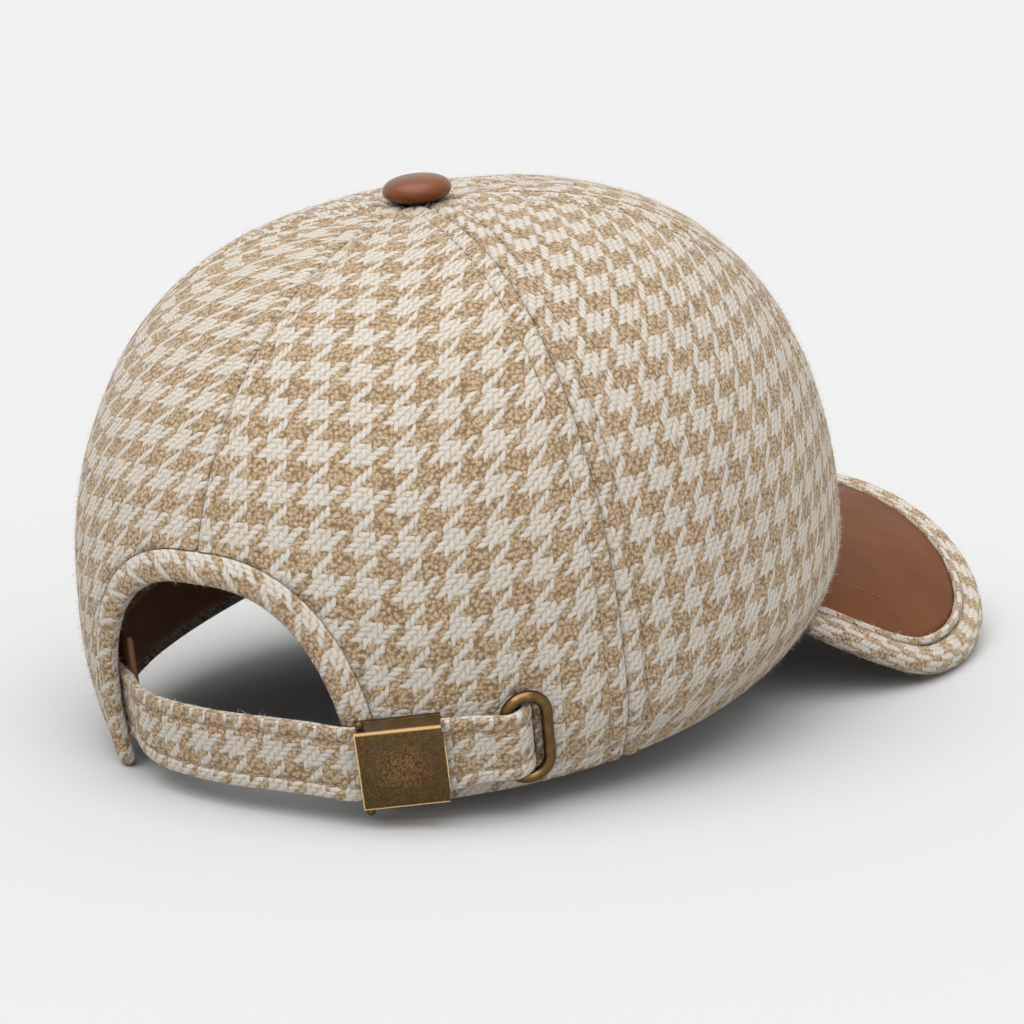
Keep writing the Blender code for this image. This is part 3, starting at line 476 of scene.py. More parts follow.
@dataclass(frozen=True)
class AntiqueBrass:
    """Mottled antique brass, worn lighter in its middle, lighter on its borders from wear and a painted
    highlight, with a painted highlight on its upper fold and painted darker where it turns away from the eye.
    """

    name: str = "antique_brass"
    low: tuple[float, float] = (-1.0, -1.0)
    high: tuple[float, float] = (1.0, 1.0)
    dark: Colour = (0.080, 0.053, 0.025)
    light: Colour = (0.26, 0.155, 0.056)
    # Colour of the worn borders and of the painted highlight on the borders and the upper fold.
    wear_and_highlight: Colour = (0.85, 0.56, 0.25)
    patch_radius: float = 7.5 * MM
    edge: float = 0.34 * MM
    fold: float = 0.95 * MM
    roughness: float = 0.42

    def make(self) -> Material:
        """Builds the material.

        Returns:
            The material, which reads the plate's own map.
        """
        recipe = Recipe(self.name)
        across, up = recipe.flat("plate")
        from_top = self.high[1] - up
        from_side = (across - self.low[0]).step("MINIMUM", self.high[0] - across)
        from_side = from_side.step("MINIMUM", up - self.low[1])
        reach = (across * across + (up * 1.15) * (up * 1.15)) ** 0.5
        patch = 1.0 - (reach + (recipe.noise(600.0, 3.0) - 0.5) * 5.0 * MM).ramp(0.0, self.patch_radius)
        worm = recipe.noise(1150.0, 3.0, 0.55)
        lines = 1.0 - ((worm - 0.5).step("ABSOLUTE") * 14.0).held()
        share = (patch * (lines * 0.85 + 0.1) + lines * 0.40 + (worm - 0.5) * 0.5).held()
        colour = recipe.blend(share, self.dark, self.light)
        rub = recipe.noise(900.0, 3.0)
        # The borders are lighter partly from wear and partly as a painted highlight; the upper fold gets a
        # painted highlight band.
        edge = 1.0 - (from_side + (rub - 0.5) * 0.25 * MM).ramp(self.edge * 0.5, self.edge)
        fold = 1.0 - ((from_top - self.fold * 0.45).step("ABSOLUTE")).ramp(self.fold * 0.15, self.fold * 0.5)
        wear_and_highlight = edge.step("MAXIMUM", fold)
        colour = recipe.blend(wear_and_highlight, colour, self.wear_and_highlight)
        # Painted dark reflection: the colour darkens where the surface turns away from the eye.
        colour = recipe.blend(recipe.facing(0.35) ** 2.0, colour, self.dark)
        recipe.relief(worm * 0.8 + lines * 0.4, 0.06 * MM, 0.5)
        return recipe.finish(
            Base_Color=colour,
            Metallic=1.0,
            Roughness=(worm - 0.5) * 0.3 + self.roughness - wear_and_highlight * 0.14,
        )


@dataclass(frozen=True)
class PolishedBrass:
    """Brass worn by handling, on edges and on the ring, with a painted dark reflection where it turns away
    from the eye.
    """

    name: str
    colour: Colour
    deep: Colour
    # The colour of the painted dark reflection at glancing angles.
    edge: Colour
    roughness: float = 0.28

    def make(self) -> Material:
        """Builds the material.

        Returns:
            The material.
        """
        recipe = Recipe(self.name)
        cloud = recipe.noise(420.0, 4.0, 0.6)
        speck = recipe.noise(5200.0, 2.0)
        colour = recipe.blend((cloud * 0.75 + speck * 0.25).ramp(0.35, 0.65), self.colour, self.deep)
        # Painted dark reflection: the colour turns towards the edge colour where the surface turns away from
        # the eye.
        colour = recipe.blend(recipe.facing(0.56) ** 1.15, colour, self.edge)
        recipe.relief(speck * 0.6 + cloud * 0.4, 0.02 * MM, 0.4)
        return recipe.finish(Base_Color=colour, Metallic=1.0, Roughness=(cloud - 0.5) * 0.25 + self.roughness)


@dataclass(frozen=True)
class Thread:
    """Twisted sewing thread or loose wool fibre."""

    name: str
    colour: Colour
    deep: Colour

    def make(self) -> Material:
        """Builds the material.

        Returns:
            The material.
        """
        recipe = Recipe(self.name)
        twist = recipe.noise(2600.0, 2.0)
        colour = recipe.blend(twist.ramp(0.35, 0.65), self.colour, self.deep)
        recipe.relief(twist, 0.08 * MM, 0.5)
        return recipe.finish(Base_Color=colour, Roughness=0.85, Specular_IOR_Level=0.2)


@dataclass(frozen=True)
class Paper:
    """The plain pale floor."""

    name: str = "pale_paper"
    colour: Colour = (0.44, 0.44, 0.44)

    def make(self) -> Material:
        """Builds the material.

        Returns:
            The material.
        """
        return Recipe(self.name).finish(Base_Color=self.colour, Roughness=0.9, Specular_IOR_Level=0.0)


class Finish(Protocol):
    """Any finish: it has a name and makes its material."""

    name: str

    def make(self) -> Material:
        """Builds the material."""


class Cupboard:
    """Makes each finish once and hands out its material."""

    def __init__(self) -> None:
        """Starts empty."""
        self.made: dict[str, Material] = {}

    def get(self, finish: Finish) -> Material:
        """Gives the finish's material.

        Args:
            finish: The finish.

        Returns:
            The material.
        """
        if finish.name not in self.made:
            self.made[finish.name] = finish.make()
        return self.made[finish.name]


CUPBOARD = Cupboard()
WOOL = HoundstoothWool()
WOOL_THREAD = Thread("beige_thread", (0.38, 0.30, 0.21), (0.25, 0.18, 0.11))
STRAP_THREAD = Thread("strap_thread", (0.36, 0.27, 0.17), (0.22, 0.155, 0.09))
FUZZ = Thread("loose_wool", (0.58, 0.54, 0.48), (0.47, 0.41, 0.33))
PEAK_LEATHER = Leather("peak_leather", (0.112, 0.038, 0.011), (0.086, 0.027, 0.0075), 0.42, specular=0.035)
BUTTON_LEATHER = Leather("button_leather", (0.145, 0.042, 0.011), (0.095, 0.026, 0.007), 0.30, specular=0.3)
PEAK_THREAD = Thread("peak_thread", (0.27, 0.155, 0.085), (0.16, 0.08, 0.04))
BAND_LEATHER = Leather("band_leather", (0.28, 0.12, 0.055), (0.20, 0.085, 0.038), 0.6)
TAPE = Thread("arch_tape", (0.36, 0.215, 0.12), (0.27, 0.15, 0.08))
BRASS = AntiqueBrass()
# The bevels' light colour is partly wear and partly a painted highlight.
BRASS_EDGE = PolishedBrass("worn_brass_edge", (0.72, 0.46, 0.19), (0.42, 0.25, 0.09), (0.20, 0.12, 0.045))
# The ring's near-black edge colour is a painted dark reflection at glancing angles.
RING_BRASS = PolishedBrass("ring_brass", (0.22, 0.130, 0.048), (0.12, 0.070, 0.026), (0.022, 0.014, 0.007))


# Shared numbers work


def unit(vectors: np.ndarray) -> np.ndarray:
    """The vectors scaled to length one."""
    return vectors / np.linalg.norm(vectors, axis=-1, keepdims=True)


def smooth_step(share: np.ndarray) -> np.ndarray:
    """A smooth rise from 0 to 1."""
    share = np.clip(share, 0.0, 1.0)
    return share * share * (3.0 - 2.0 * share)


def run_of(line: np.ndarray) -> np.ndarray:
    """Distance along a polyline at each of its points."""
    steps = np.linalg.norm(np.diff(line, axis=0), axis=1)
    return np.concatenate([[0.0], np.cumsum(steps)])


def resample(line: np.ndarray, count: int) -> np.ndarray:
    """Spaces points evenly along a polyline.

    Args:
        line: The polyline's points.
        count: The wanted number of points.

    Returns:
        The new points.
    """
    line = np.asarray(line, float)
    run = run_of(line)
    at = np.linspace(0.0, run[-1], count)
    return np.stack([np.interp(at, run, line[:, k]) for k in range(line.shape[1])], axis=1)


def ripple(run: np.ndarray, periods: Sequence[float], seed: float) -> np.ndarray:
    """An uneven wave between about -1 and 1, from a few sines.

    Args:
        run: Distance along the piece.
        periods: The waves' lengths.
        seed: A shift that makes each piece different.

    Returns:
        The wave.
    """
    waves = [np.sin(2.0 * math.pi * run / period + seed * (k + 1.7)) for k, period in enumerate(periods)]
    return sum(waves) / len(waves)


def bell(distance: np.ndarray, centre: float, width: float) -> np.ndarray:
    """A smooth bump of height one round a centre."""
    return np.exp(-(((distance - centre) / width) ** 2))


# The cap's form


@dataclass(frozen=True)
class CapForm:
    """The crown's and peak's form, in the cap's own frame, and how the cap rests."""

    half_width: float = 90.0 * MM
    front_reach: float = 111.7 * MM
    back_reach: float = 106.4 * MM
    height: float = 114.4 * MM
    widest_height: float = 19.0 * MM
    apex_setback: float = 5.4 * MM
    edge_wave: float = 2.3 * MM
    dome_power: float = 2.26
    back: tuple[float, float] = (2.16, 0.00)
    side: tuple[float, float] = (2.86, 0.09)
    front: tuple[float, float] = (2.96, 0.04)
    cloth: float = 1.8 * MM
    gap: float = 0.3 * MM
    arch_half_width: float = 34.3 * MM
    arch_height: float = 51.7 * MM
    arch_power: float = 0.75
    arch_low: float = 2.375 * MM
    foot_drop: float = 1.2 * MM
    bound_rise: float = 0.9 * MM
    bound_under: float = 1.0 * MM
    button_hole: float = 3.8 * MM
    lean: float = math.radians(9.9138)
    lift: tuple[float, float, float] = (0.0, 37.163 * MM, 17.71 * MM)

    def matrix(self) -> Matrix:
        """The place of the cap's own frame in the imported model's frame."""
        return Matrix.Translation(self.lift) @ Matrix.Rotation(-self.lean, 4, "X")

    def mixed(self, turn: np.ndarray, column: int) -> np.ndarray:
        """One value of the form at a turn.

        Args:
            turn: The turn.
            column: 0 for the dome's roundness, 1 for the share drawn in at the lower edge.

        Returns:
            The value blended between back or front and side.
        """
        towards = np.cos(turn)
        ends = np.where(towards > 0.0, self.back[column], self.front[column])
        return self.side[column] + (ends - self.side[column]) * towards * towards

    def lower_edge(self, turn: np.ndarray) -> np.ndarray:
        """Height of the crown's lower edge."""
        return self.edge_wave * np.cos(2.0 * turn)

    def climb_of(self, height: np.ndarray) -> np.ndarray:
        """Position up a meridian: 0 to 1 below the widest ring, 1 to 2 over the dome."""
        span = self.height - self.widest_height
        share = np.clip((height - self.widest_height) / span, 0.0, 1.0)
        dome = 1.0 + np.arcsin(share ** (self.dome_power / 2.0)) / (math.pi / 2.0)
        return np.where(height > self.widest_height, dome, height / self.widest_height)

    def shell(self, turn: np.ndarray, climb: np.ndarray) -> np.ndarray:
        """Points of the crown's outer face.

        Args:
            turn: The turns.
            climb: The positions up the meridians.

        Returns:
            The points.
        """
        turn, climb = np.broadcast_arrays(np.asarray(turn, float), np.asarray(climb, float))
        angle = np.clip(climb - 1.0, 0.0, 1.0) * (math.pi / 2.0)
        rise = (self.height - self.widest_height) * np.sin(angle) ** (2.0 / self.dome_power)
        height = np.where(climb > 1.0, self.widest_height + rise, climb * self.widest_height)
        dome = np.maximum(np.cos(angle), 0.0) ** (2.0 / self.mixed(turn, 0))
        skirt = 1.0 - self.mixed(turn, 1) * (1.0 - np.minimum(climb, 1.0)) ** 2
        radius = np.where(climb > 1.0, dome, skirt)
        reach = np.where(np.cos(turn) > 0.0, self.back_reach, self.front_reach)
        x = -self.half_width * radius * np.sin(turn)
        y = reach * radius * np.cos(turn) + self.apex_setback * (height / self.height) ** 2
        return np.stack([x, y, height], axis=-1)

    def normal(self, turn: np.ndarray, climb: np.ndarray) -> np.ndarray:
        """Outward normals of the crown's outer face."""
        step = 1e-4
        upper = np.minimum(np.asarray(climb, float) + step, 2.0 - step)
        along = self.shell(turn + step, climb) - self.shell(turn - step, climb)
        up = self.shell(turn, upper) - self.shell(turn, climb - step)
        return unit(np.cross(along, up))

    def at(self, turn: np.ndarray, climb: np.ndarray, proud: np.ndarray | float) -> np.ndarray:
        """Points at a distance outside the crown's outer face.

        Args:
            turn: The turns.
            climb: The positions up the meridians.
            proud: The distances outside the face.

        Returns:
            The points.
        """
        proud = np.broadcast_to(np.asarray(proud, float), np.broadcast(turn, climb).shape)
        return self.shell(turn, climb) + proud[..., None] * self.normal(turn, climb)

    def turn_of(self, points: np.ndarray) -> np.ndarray:
        """Turns of the meridians through points."""
        ahead = points[..., 1] - self.apex_setback * (points[..., 2] / self.height) ** 2
        reach = np.where(ahead > 0.0, self.back_reach, self.front_reach)
        return np.arctan2(-points[..., 0] / self.half_width, ahead / reach)

    def hole_climb(self, turn: np.ndarray) -> np.ndarray:
        """Position up the meridian of the hole under the button."""
        share = (self.button_hole / self.half_width) ** (self.mixed(turn, 0) / 2.0)
        return 1.0 + np.arccos(share) / (math.pi / 2.0)

    def arch_line(self, distance: float, count: int) -> np.ndarray:
        """Stations along the arch.

        Args:
            distance: How far outside the arch's inner edge they lie.
            count: The number of stations.

        Returns:
            Rows of turn and height, from the left foot to the right one.
        """
        half_turn = math.asin(self.arch_half_width / self.half_width)
        angles = np.linspace(math.pi - 1e-3, 1e-3, 361)
        cosine, sine = np.cos(angles), np.sin(angles)
        turns = half_turn * np.sign(cosine) * np.abs(cosine) ** self.arch_power
        heights = self.arch_height * sine**self.arch_power
        keep = heights > self.arch_low
        turns = np.concatenate([[turns[keep][0]], turns[keep], [turns[keep][-1]]])
        heights = np.concatenate([[-self.foot_drop], heights[keep], [-self.foot_drop]])
        line = resample(self.shell(turns, self.climb_of(heights)), 241)
        normals = self.normal(self.turn_of(line), self.climb_of(line[:, 2]))
        outside = unit(np.cross(unit(np.gradient(line, axis=0)), normals))
        if outside[len(outside) // 2][2] < 0.0:
            outside = -outside
        moved = line + outside * distance
        moved[:, 2] = np.maximum(moved[:, 2], -self.foot_drop)
        moved = resample(moved, count)
        return np.stack([self.turn_of(moved), moved[:, 2]], axis=1)


FORM = CapForm()


# Mesh building


def linked(name: str, data: bpy.types.ID) -> Piece:
    """A new object in the scene that holds a mesh, a light or a camera."""
    item = bpy.data.objects.new(name, data)
    bpy.context.scene.collection.objects.link(item)
    return item


def kept_result(item: Piece, name: str) -> Mesh:
    """Keeps the mesh that an object's modifiers make and removes the object.

    Args:
        item: The object.
        name: The kept mesh's name.

    Returns:
        The mesh.
    """
    graph = bpy.context.evaluated_depsgraph_get()
    made = bpy.data.meshes.new_from_object(item.evaluated_get(graph), depsgraph=graph)
    bpy.data.objects.remove(item, do_unlink=True)
    made.name = name
    return made


def paint(mesh: Mesh, finishes: Sequence[Finish]) -> None:
    """Gives a mesh its finishes, one for each material index."""
    mesh.materials.clear()
    for finish in finishes:
        mesh.materials.append(CUPBOARD.get(finish))


def settle(name: str, mesh: Mesh, finishes: Sequence[Finish]) -> Piece:
    """Turns a mesh in the cap's own frame into a finished object in the model's frame.

    Args:
        name: The object's name.
        mesh: The mesh.
        finishes: Its finishes, one for each material index.

    Returns:
        The object.
    """
    mesh.transform(FORM.matrix())
    mesh.shade_smooth()
    paint(mesh, finishes)
    return linked(name, mesh)


def mesh_of(
    name: str,
    points: np.ndarray,
    faces: Sequence[Sequence[int]],
    maps: dict[str, Sequence[Sequence[tuple[float, float]]]],
) -> Mesh:
    """Builds a mesh with flat maps, whose faces are turned outwards.

    Args:
        name: The mesh's name.
        points: Its points.
        faces: Its faces.
        maps: For each map's name, the corners' coordinates of each face.

    Returns:
        The mesh.
    """
    mesh = bpy.data.meshes.new(name)
    mesh.from_pydata([tuple(map(float, point)) for point in points], [], [tuple(face) for face in faces])
    for layer, corners in maps.items():
        flat = np.array([pair for face in corners for pair in face], np.float32).reshape(-1)
        mesh.uv_layers.new(name=layer).data.foreach_set("uv", flat)
    work = bmesh.new()
    work.from_mesh(mesh)
    bmesh.ops.recalc_face_normals(work, faces=work.faces)
    work.to_mesh(mesh)
    work.free()
    return mesh


def quads(rows: int, columns: int, wrap: bool) -> Faces:
    """Quads over a grid of points.

    Args:
        rows: The grid's rows.
        columns: The points in each row.
        wrap: Whether the last column joins the first.

    Returns:
        The quads, row after row.
    """
    faces: Faces = []
    for start in range(0, (rows - 1) * columns, columns):
        for column in range(columns if wrap else columns - 1):
            first, after = start + column, start + (column + 1) % columns
            faces.append((first, after, after + columns, first + columns))
    return faces


def sheet_mesh(
    name: str,
    outer: np.ndarray,
    inner: np.ndarray,
    maps: dict[str, np.ndarray],
    wrap: bool = False,
) -> Mesh:
    """Builds the closed wall between two grids.

    Args:
        name: The mesh's name.
        outer: The outer grid of points.
        inner: The inner grid of points.
        maps: For each map's name, the flat coordinates of the grid.
        wrap: Whether the last column joins the first.

    Returns:
        The mesh.
    """
    rows, columns = outer.shape[:2]
    count = rows * columns
    faces: Faces = []
    for quad in quads(rows, columns, wrap):
        faces += [quad, tuple(count + index for index in reversed(quad))]
    rims = [list(range(columns)), list(range(count - columns, count))]
    if wrap:
        rims = [rim + rim[:1] for rim in rims]
    else:
        rims += [list(range(0, count, columns)), list(range(columns - 1, count, columns))]
    for rim in rims:
        faces += [(here, after, after + count, here + count) for here, after in zip(rim, rim[1:])]
    corners = {}
    for layer, grid in maps.items():
        flat = grid.reshape(-1, 2)
        corners[layer] = [[tuple(flat[index % count]) for index in face] for face in faces]
    return mesh_of(name, np.concatenate([outer.reshape(-1, 3), inner.reshape(-1, 3)]), faces, corners)


def sweep_mesh(
    name: str,
    centres: np.ndarray,
    across: np.ndarray,
    outward: np.ndarray,
    sections: Sequence[np.ndarray],
    cut: Cut = Cut.STRAIGHT,
    layer: str = "weave",
    closed: bool = False,
) -> Mesh:
    """Builds a closed sweep.

    Args:
        name: The mesh's name.
        centres: The stations' centres.
        across: The first axis of each section.
        outward: The second axis of each section.
        sections: A loop of (across, outward) at each station.
        cut: How the cloth is cut.
        layer: The flat map's name.
        closed: Whether the last station joins the first.

    Returns:
        The mesh, with a flat map of distance along and distance around.
    """
    rings = [
        centre + section[:, :1] * side + section[:, 1:] * out
        for centre, side, out, section in zip(centres, across, outward, sections)
    ]
    count, stations = len(sections[0]), len(rings)
    run = run_of(np.concatenate([centres, centres[:1]]))
    widest = max(sections, key=lambda section: float(np.abs(section).max()))
    around = run_of(np.concatenate([widest, widest[:1]]))
    angle = math.radians(cut.value)
    cosine, sine = math.cos(angle), math.sin(angle)

    def corner(station: int, place: int) -> tuple[float, float]:
        """The flat place of one corner."""
        a, b = run[station], -around[place]
        return a * cosine - b * sine, a * sine + b * cosine

    rows = stations + 1 if closed else stations
    faces = [tuple(index % (stations * count) for index in quad) for quad in quads(rows, count, True)]
    flat = [
        [corner(station, k), corner(station, k + 1), corner(station + 1, k + 1), corner(station + 1, k)]
        for station in range(rows - 1)
        for k in range(count)
    ]
    if not closed:
        for station, places in ((0, range(count)), (stations - 1, reversed(range(count)))):
            places = list(places)
            faces.append(tuple(station * count + k for k in places))
            section = sections[station]
            flat.append([(run[station] + section[k][0], section[k][1]) for k in places])
    return mesh_of(name, np.concatenate(rings), faces, {layer: flat})


def oval(half_across: float, half_outward: float, sides: int, power: float = 2.0) -> np.ndarray:
    """A loop of points on a superellipse.

    Args:
        half_across: Half its width.
        half_outward: Half its height.
        sides: The number of points.
        power: 2 for an ellipse, more for a squarer loop.

    Returns:
        The points.
    """
    angles = np.arange(sides) * 2.0 * math.pi / sides + math.pi / sides
    cosine, sine = np.cos(angles), np.sin(angles)
    share = 2.0 / power
    return np.stack(
        [
            half_across * np.sign(cosine) * np.abs(cosine) ** share,
            half_outward * np.sign(sine) * np.abs(sine) ** share,
        ],
        axis=1,
    )


def round_ends(run: np.ndarray, reach: float, least: float) -> np.ndarray:
    """Sizes along a sweep that round off both of its ends.

    Args:
        run: Distance along the sweep.
        reach: Length of each rounded end.
        least: The size at the very end.

    Returns:
        The share of the full size at each station.
    """
    near = np.minimum(np.minimum(run, run[-1] - run) / reach, 1.0)
    return least + (1.0 - least) * np.sqrt(np.maximum(1.0 - (1.0 - near) ** 2, 0.0))


def cut_with(mesh: Mesh, tool: Mesh) -> Mesh:
    """Cuts one closed mesh out of another.

    Args:
        mesh: The mesh to cut.
        tool: The mesh to take away.

    Returns:
        The cut mesh.
    """
    whole, cutter = linked(mesh.name, mesh), linked(tool.name, tool)
    modifier = whole.modifiers.new("cut", "BOOLEAN")
    modifier.operation, modifier.solver, modifier.object = "DIFFERENCE", "EXACT", cutter
    result = kept_result(whole, mesh.name)
    bpy.data.objects.remove(cutter, do_unlink=True)
    return result


def hand_over(item: Piece, stands_for: Sequence[str] = (), body: str = CAP_BODY) -> Piece:
    """Gives a finished piece to the frame.

    Args:
        item: The piece.
        stands_for: The nodes that it replaces.
        body: The body that it rides on.

    Returns:
        The piece.
    """
    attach(item, body)
    if stands_for:
        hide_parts(*stands_for)
    item.data.calc_loop_triangles()
    LOG.info("%s: %d triangles", item.name, len(item.data.loop_triangles))
    return item


def dress(name: str, mesh: Mesh, finish: Finish, node: str) -> Piece:
    """Settles a mesh of one finish and hands it over in a node's place.

    Args:
        name: The piece's name.
        mesh: The mesh, in the cap's own frame.
        finish: Its finish.
        node: The node that it replaces.

    Returns:
        The piece.
    """
    return hand_over(settle(name, mesh, [finish]), [node])


# Repeated small pieces, by geometry nodes


class NodeGroupKit(NodeKit):
    """A geometry node tree under construction."""

    def __init__(self, name: str, sizes: Sequence[str]) -> None:
        """Starts the tree.

        Args:
            name: The tree's name.
            sizes: Names of its number inputs.
        """
        super().__init__(bpy.data.node_groups.new(name, "GeometryNodeTree"))
        sockets = [("Geometry", "Geometry"), *((size, "Float") for size in sizes), ("Seed", "Int")]
        for label, kind in [*sockets, ("Material", "Material")]:
            self.tree.interface.new_socket(label, in_out="INPUT", socket_type=f"NodeSocket{kind}")
        self.tree.interface.new_socket("Geometry", in_out="OUTPUT", socket_type="NodeSocketGeometry")
        self.inputs = self.tree.nodes.new("NodeGroupInput").outputs

    def vector(self, x: object, y: object, z: object) -> Socket:
        """Three values as one vector."""
        return self.node("ShaderNodeCombineXYZ", None, {0: x, 1: y, 2: z}).outputs[0]

    def half(self, value: Socket) -> Socket:
        """Half a value."""
        return self.node("ShaderNodeMath", {"operation": "MULTIPLY"}, {0: value, 1: 0.5}).outputs[0]

    def scatter(self, points: Socket, small: Socket, rotation: Socket, sizes: tuple[float, float]) -> Tree:
        """Puts a small piece on every point, gives them all their material and ends the tree.

        Args:
            points: The points.
            small: The small piece.
            rotation: Its turn at each point.
            sizes: The least and the greatest share of its size, between which each one is drawn.

        Returns:
            The tree.
        """
        low, high = sizes
        change = self.node("FunctionNodeRandomValue", None, {"Seed": self.inputs["Seed"], 2: low, 3: high})
        placed = self.node(
            "GeometryNodeInstanceOnPoints",
            None,
            {"Points": points, "Instance": small, "Rotation": rotation, "Scale": change.outputs[1]},
        )
        real = self.node("GeometryNodeRealizeInstances", None, {0: placed.outputs[0]})
        smooth = self.node("GeometryNodeSetShadeSmooth", None, {0: real.outputs[0]})
        dressed = self.node(
            "GeometryNodeSetMaterial", None, {0: smooth.outputs[0], "Material": self.inputs["Material"]}
        )
        end = self.tree.nodes.new("NodeGroupOutput")
        self.tree.links.new(dressed.outputs[0], end.inputs[0])
        return self.tree

    @staticmethod
    def grow(tree: Tree, name: str, mesh: Mesh, finish: Finish, seed: int, **sizes: float) -> Piece:
        """Runs a tree over a mesh and keeps the result as a plain mesh.

        Args:
            tree: The tree.
            name: The new object's name.
            mesh: The path or surface that the tree reads, in the model's frame.
            finish: The finish of the result.
            seed: The seed of the tree's random values.
            sizes: The tree's number inputs, with underscores for spaces.

        Returns:
            The new object.
        """
        source = linked(f"{name}_source", mesh)
        modifier = source.modifiers.new("grow", "NODES")
        modifier.node_group = tree
        values: dict[str, object] = {key.replace("_", " "): value for key, value in sizes.items()}
        values |= {"Seed": seed, "Material": CUPBOARD.get(finish)}
        for socket in tree.interface.items_tree:
            if socket.in_out == "INPUT" and socket.name in values:
                modifier[socket.identifier] = values[socket.name]
        return linked(name, kept_result(source, name))


@dataclass(frozen=True)
class StitchSizes:
    """The sizes of one kind of stitch and the seed of its small differences."""

    pitch: float = 2.7 * MM
    length: float = 2.2 * MM
    thread: float = 0.42 * MM
    seed: int = 3


@dataclass
class StitchSewer:
    """Sews rows of stitches along paths."""

    tree: Tree = field(init=False)

    def __post_init__(self) -> None:
        """Builds the stitch tree."""
        kit = NodeGroupKit("stitch_row", ("Pitch", "Stitch Length", "Thread"))
        curve = kit.node("GeometryNodeMeshToCurve", None, {0: kit.inputs["Geometry"]})
        spacing = {0: curve.outputs[0], "Length": kit.inputs["Pitch"]}
        spaced = kit.node("GeometryNodeResampleCurve", {"mode": "LENGTH"}, spacing)
        ball = kit.node("GeometryNodeMeshUVSphere", None, {"Segments": 6, "Rings": 5, "Radius": 1.0})
        thread = kit.half(kit.inputs["Thread"])
        size = kit.vector(kit.half(kit.inputs["Stitch Length"]), thread, thread)
        stitch = kit.node("GeometryNodeTransform", None, {0: ball.outputs[0], "Scale": size})
        tangent = kit.node("GeometryNodeInputTangent")
        turn = kit.node("FunctionNodeAlignRotationToVector", {"axis": "X"}, {"Vector": tangent.outputs[0]})
        self.tree = kit.scatter(spaced.outputs[0], stitch.outputs[0], turn.outputs[0], (0.85, 1.1))

    def sew(
        self,
        name: str,
        paths: Sequence[np.ndarray],
        finish: Finish,
        sizes: StitchSizes = StitchSizes(),
    ) -> Piece:
        """Sews along paths.

        Args:
            name: The stitches' name.
            paths: Polylines in the cap's own frame.
            finish: The thread's finish.
            sizes: The stitches' sizes.

        Returns:
            The stitches.
        """
        points = np.concatenate(paths)
        edges: list[tuple[int, int]] = []
        start = 0
        for path in paths:
            edges += [(start + k, start + k + 1) for k in range(len(path) - 1)]
            start += len(path)
        mesh = bpy.data.meshes.new(f"{name}_paths")
        mesh.from_pydata([tuple(map(float, point)) for point in points], edges, [])
        mesh.transform(FORM.matrix())
        numbers = {"Pitch": sizes.pitch, "Stitch_Length": sizes.length, "Thread": sizes.thread}
        return NodeGroupKit.grow(self.tree, name, mesh, finish, sizes.seed, **numbers)


@dataclass
class FuzzGrower:
    """Grows short loose fibres out of the wool."""

    per_square_metre: float = 300_000.0
    length: float = 1.9 * MM
    thickness: float = 0.085 * MM
    tilt: float = 1.25
    above_floor: float = 0.05 * MM
    tree: Tree = field(init=False)

    def __post_init__(self) -> None:
        """Builds the fibre tree."""
        kit = NodeGroupKit("loose_fibres", ("Density", "Length", "Thickness"))
        spread = kit.node(
            "GeometryNodeDistributePointsOnFaces",
            None,
            {0: kit.inputs["Geometry"], "Density": kit.inputs["Density"], "Seed": kit.inputs["Seed"]},
        )
        fibre = kit.node(
            "GeometryNodeMeshCone",
            {"fill_type": "NONE"},
            {
                "Vertices": 3,
                "Radius Top": 0.0,
                "Radius Bottom": kit.half(kit.inputs["Thickness"]),
                "Depth": kit.inputs["Length"],
            },
        )
        tilt = kit.node(
            "FunctionNodeRandomValue",
            {"data_type": "FLOAT_VECTOR"},
            {"Seed": kit.inputs["Seed"], 0: (-self.tilt, -self.tilt, 0.0), 1: (self.tilt, self.tilt, 6.28)},
        )
        rotated = kit.node(
            "FunctionNodeRotateRotation",
            {"rotation_space": "LOCAL"},
            {"Rotation": spread.outputs["Rotation"], "Rotate By": tilt.outputs[0]},
        )
        self.tree = kit.scatter(spread.outputs["Points"], fibre.outputs[0], rotated.outputs[0], (0.35, 1.15))

    def grow(self, name: str, sources: Sequence[Piece], seed: int) -> Piece:
        """Grows fibres from finished pieces.

        Args:
            name: The fibres' name.
            sources: The pieces.
            seed: The seed of the fibres' places.

        Returns:
            The fibres.
        """
        work = bmesh.new()
        for source in sources:
            work.from_mesh(source.data)
        mesh = bpy.data.meshes.new(f"{name}_surface")
        work.to_mesh(mesh)
        work.free()
        numbers = {"Density": self.per_square_metre, "Length": self.length, "Thickness": self.thickness}
        item = NodeGroupKit.grow(self.tree, name, mesh, FUZZ, seed, **numbers)
        for vertex in item.data.vertices:
            vertex.co.z = max(vertex.co.z, self.above_floor)
        return item


# Crown


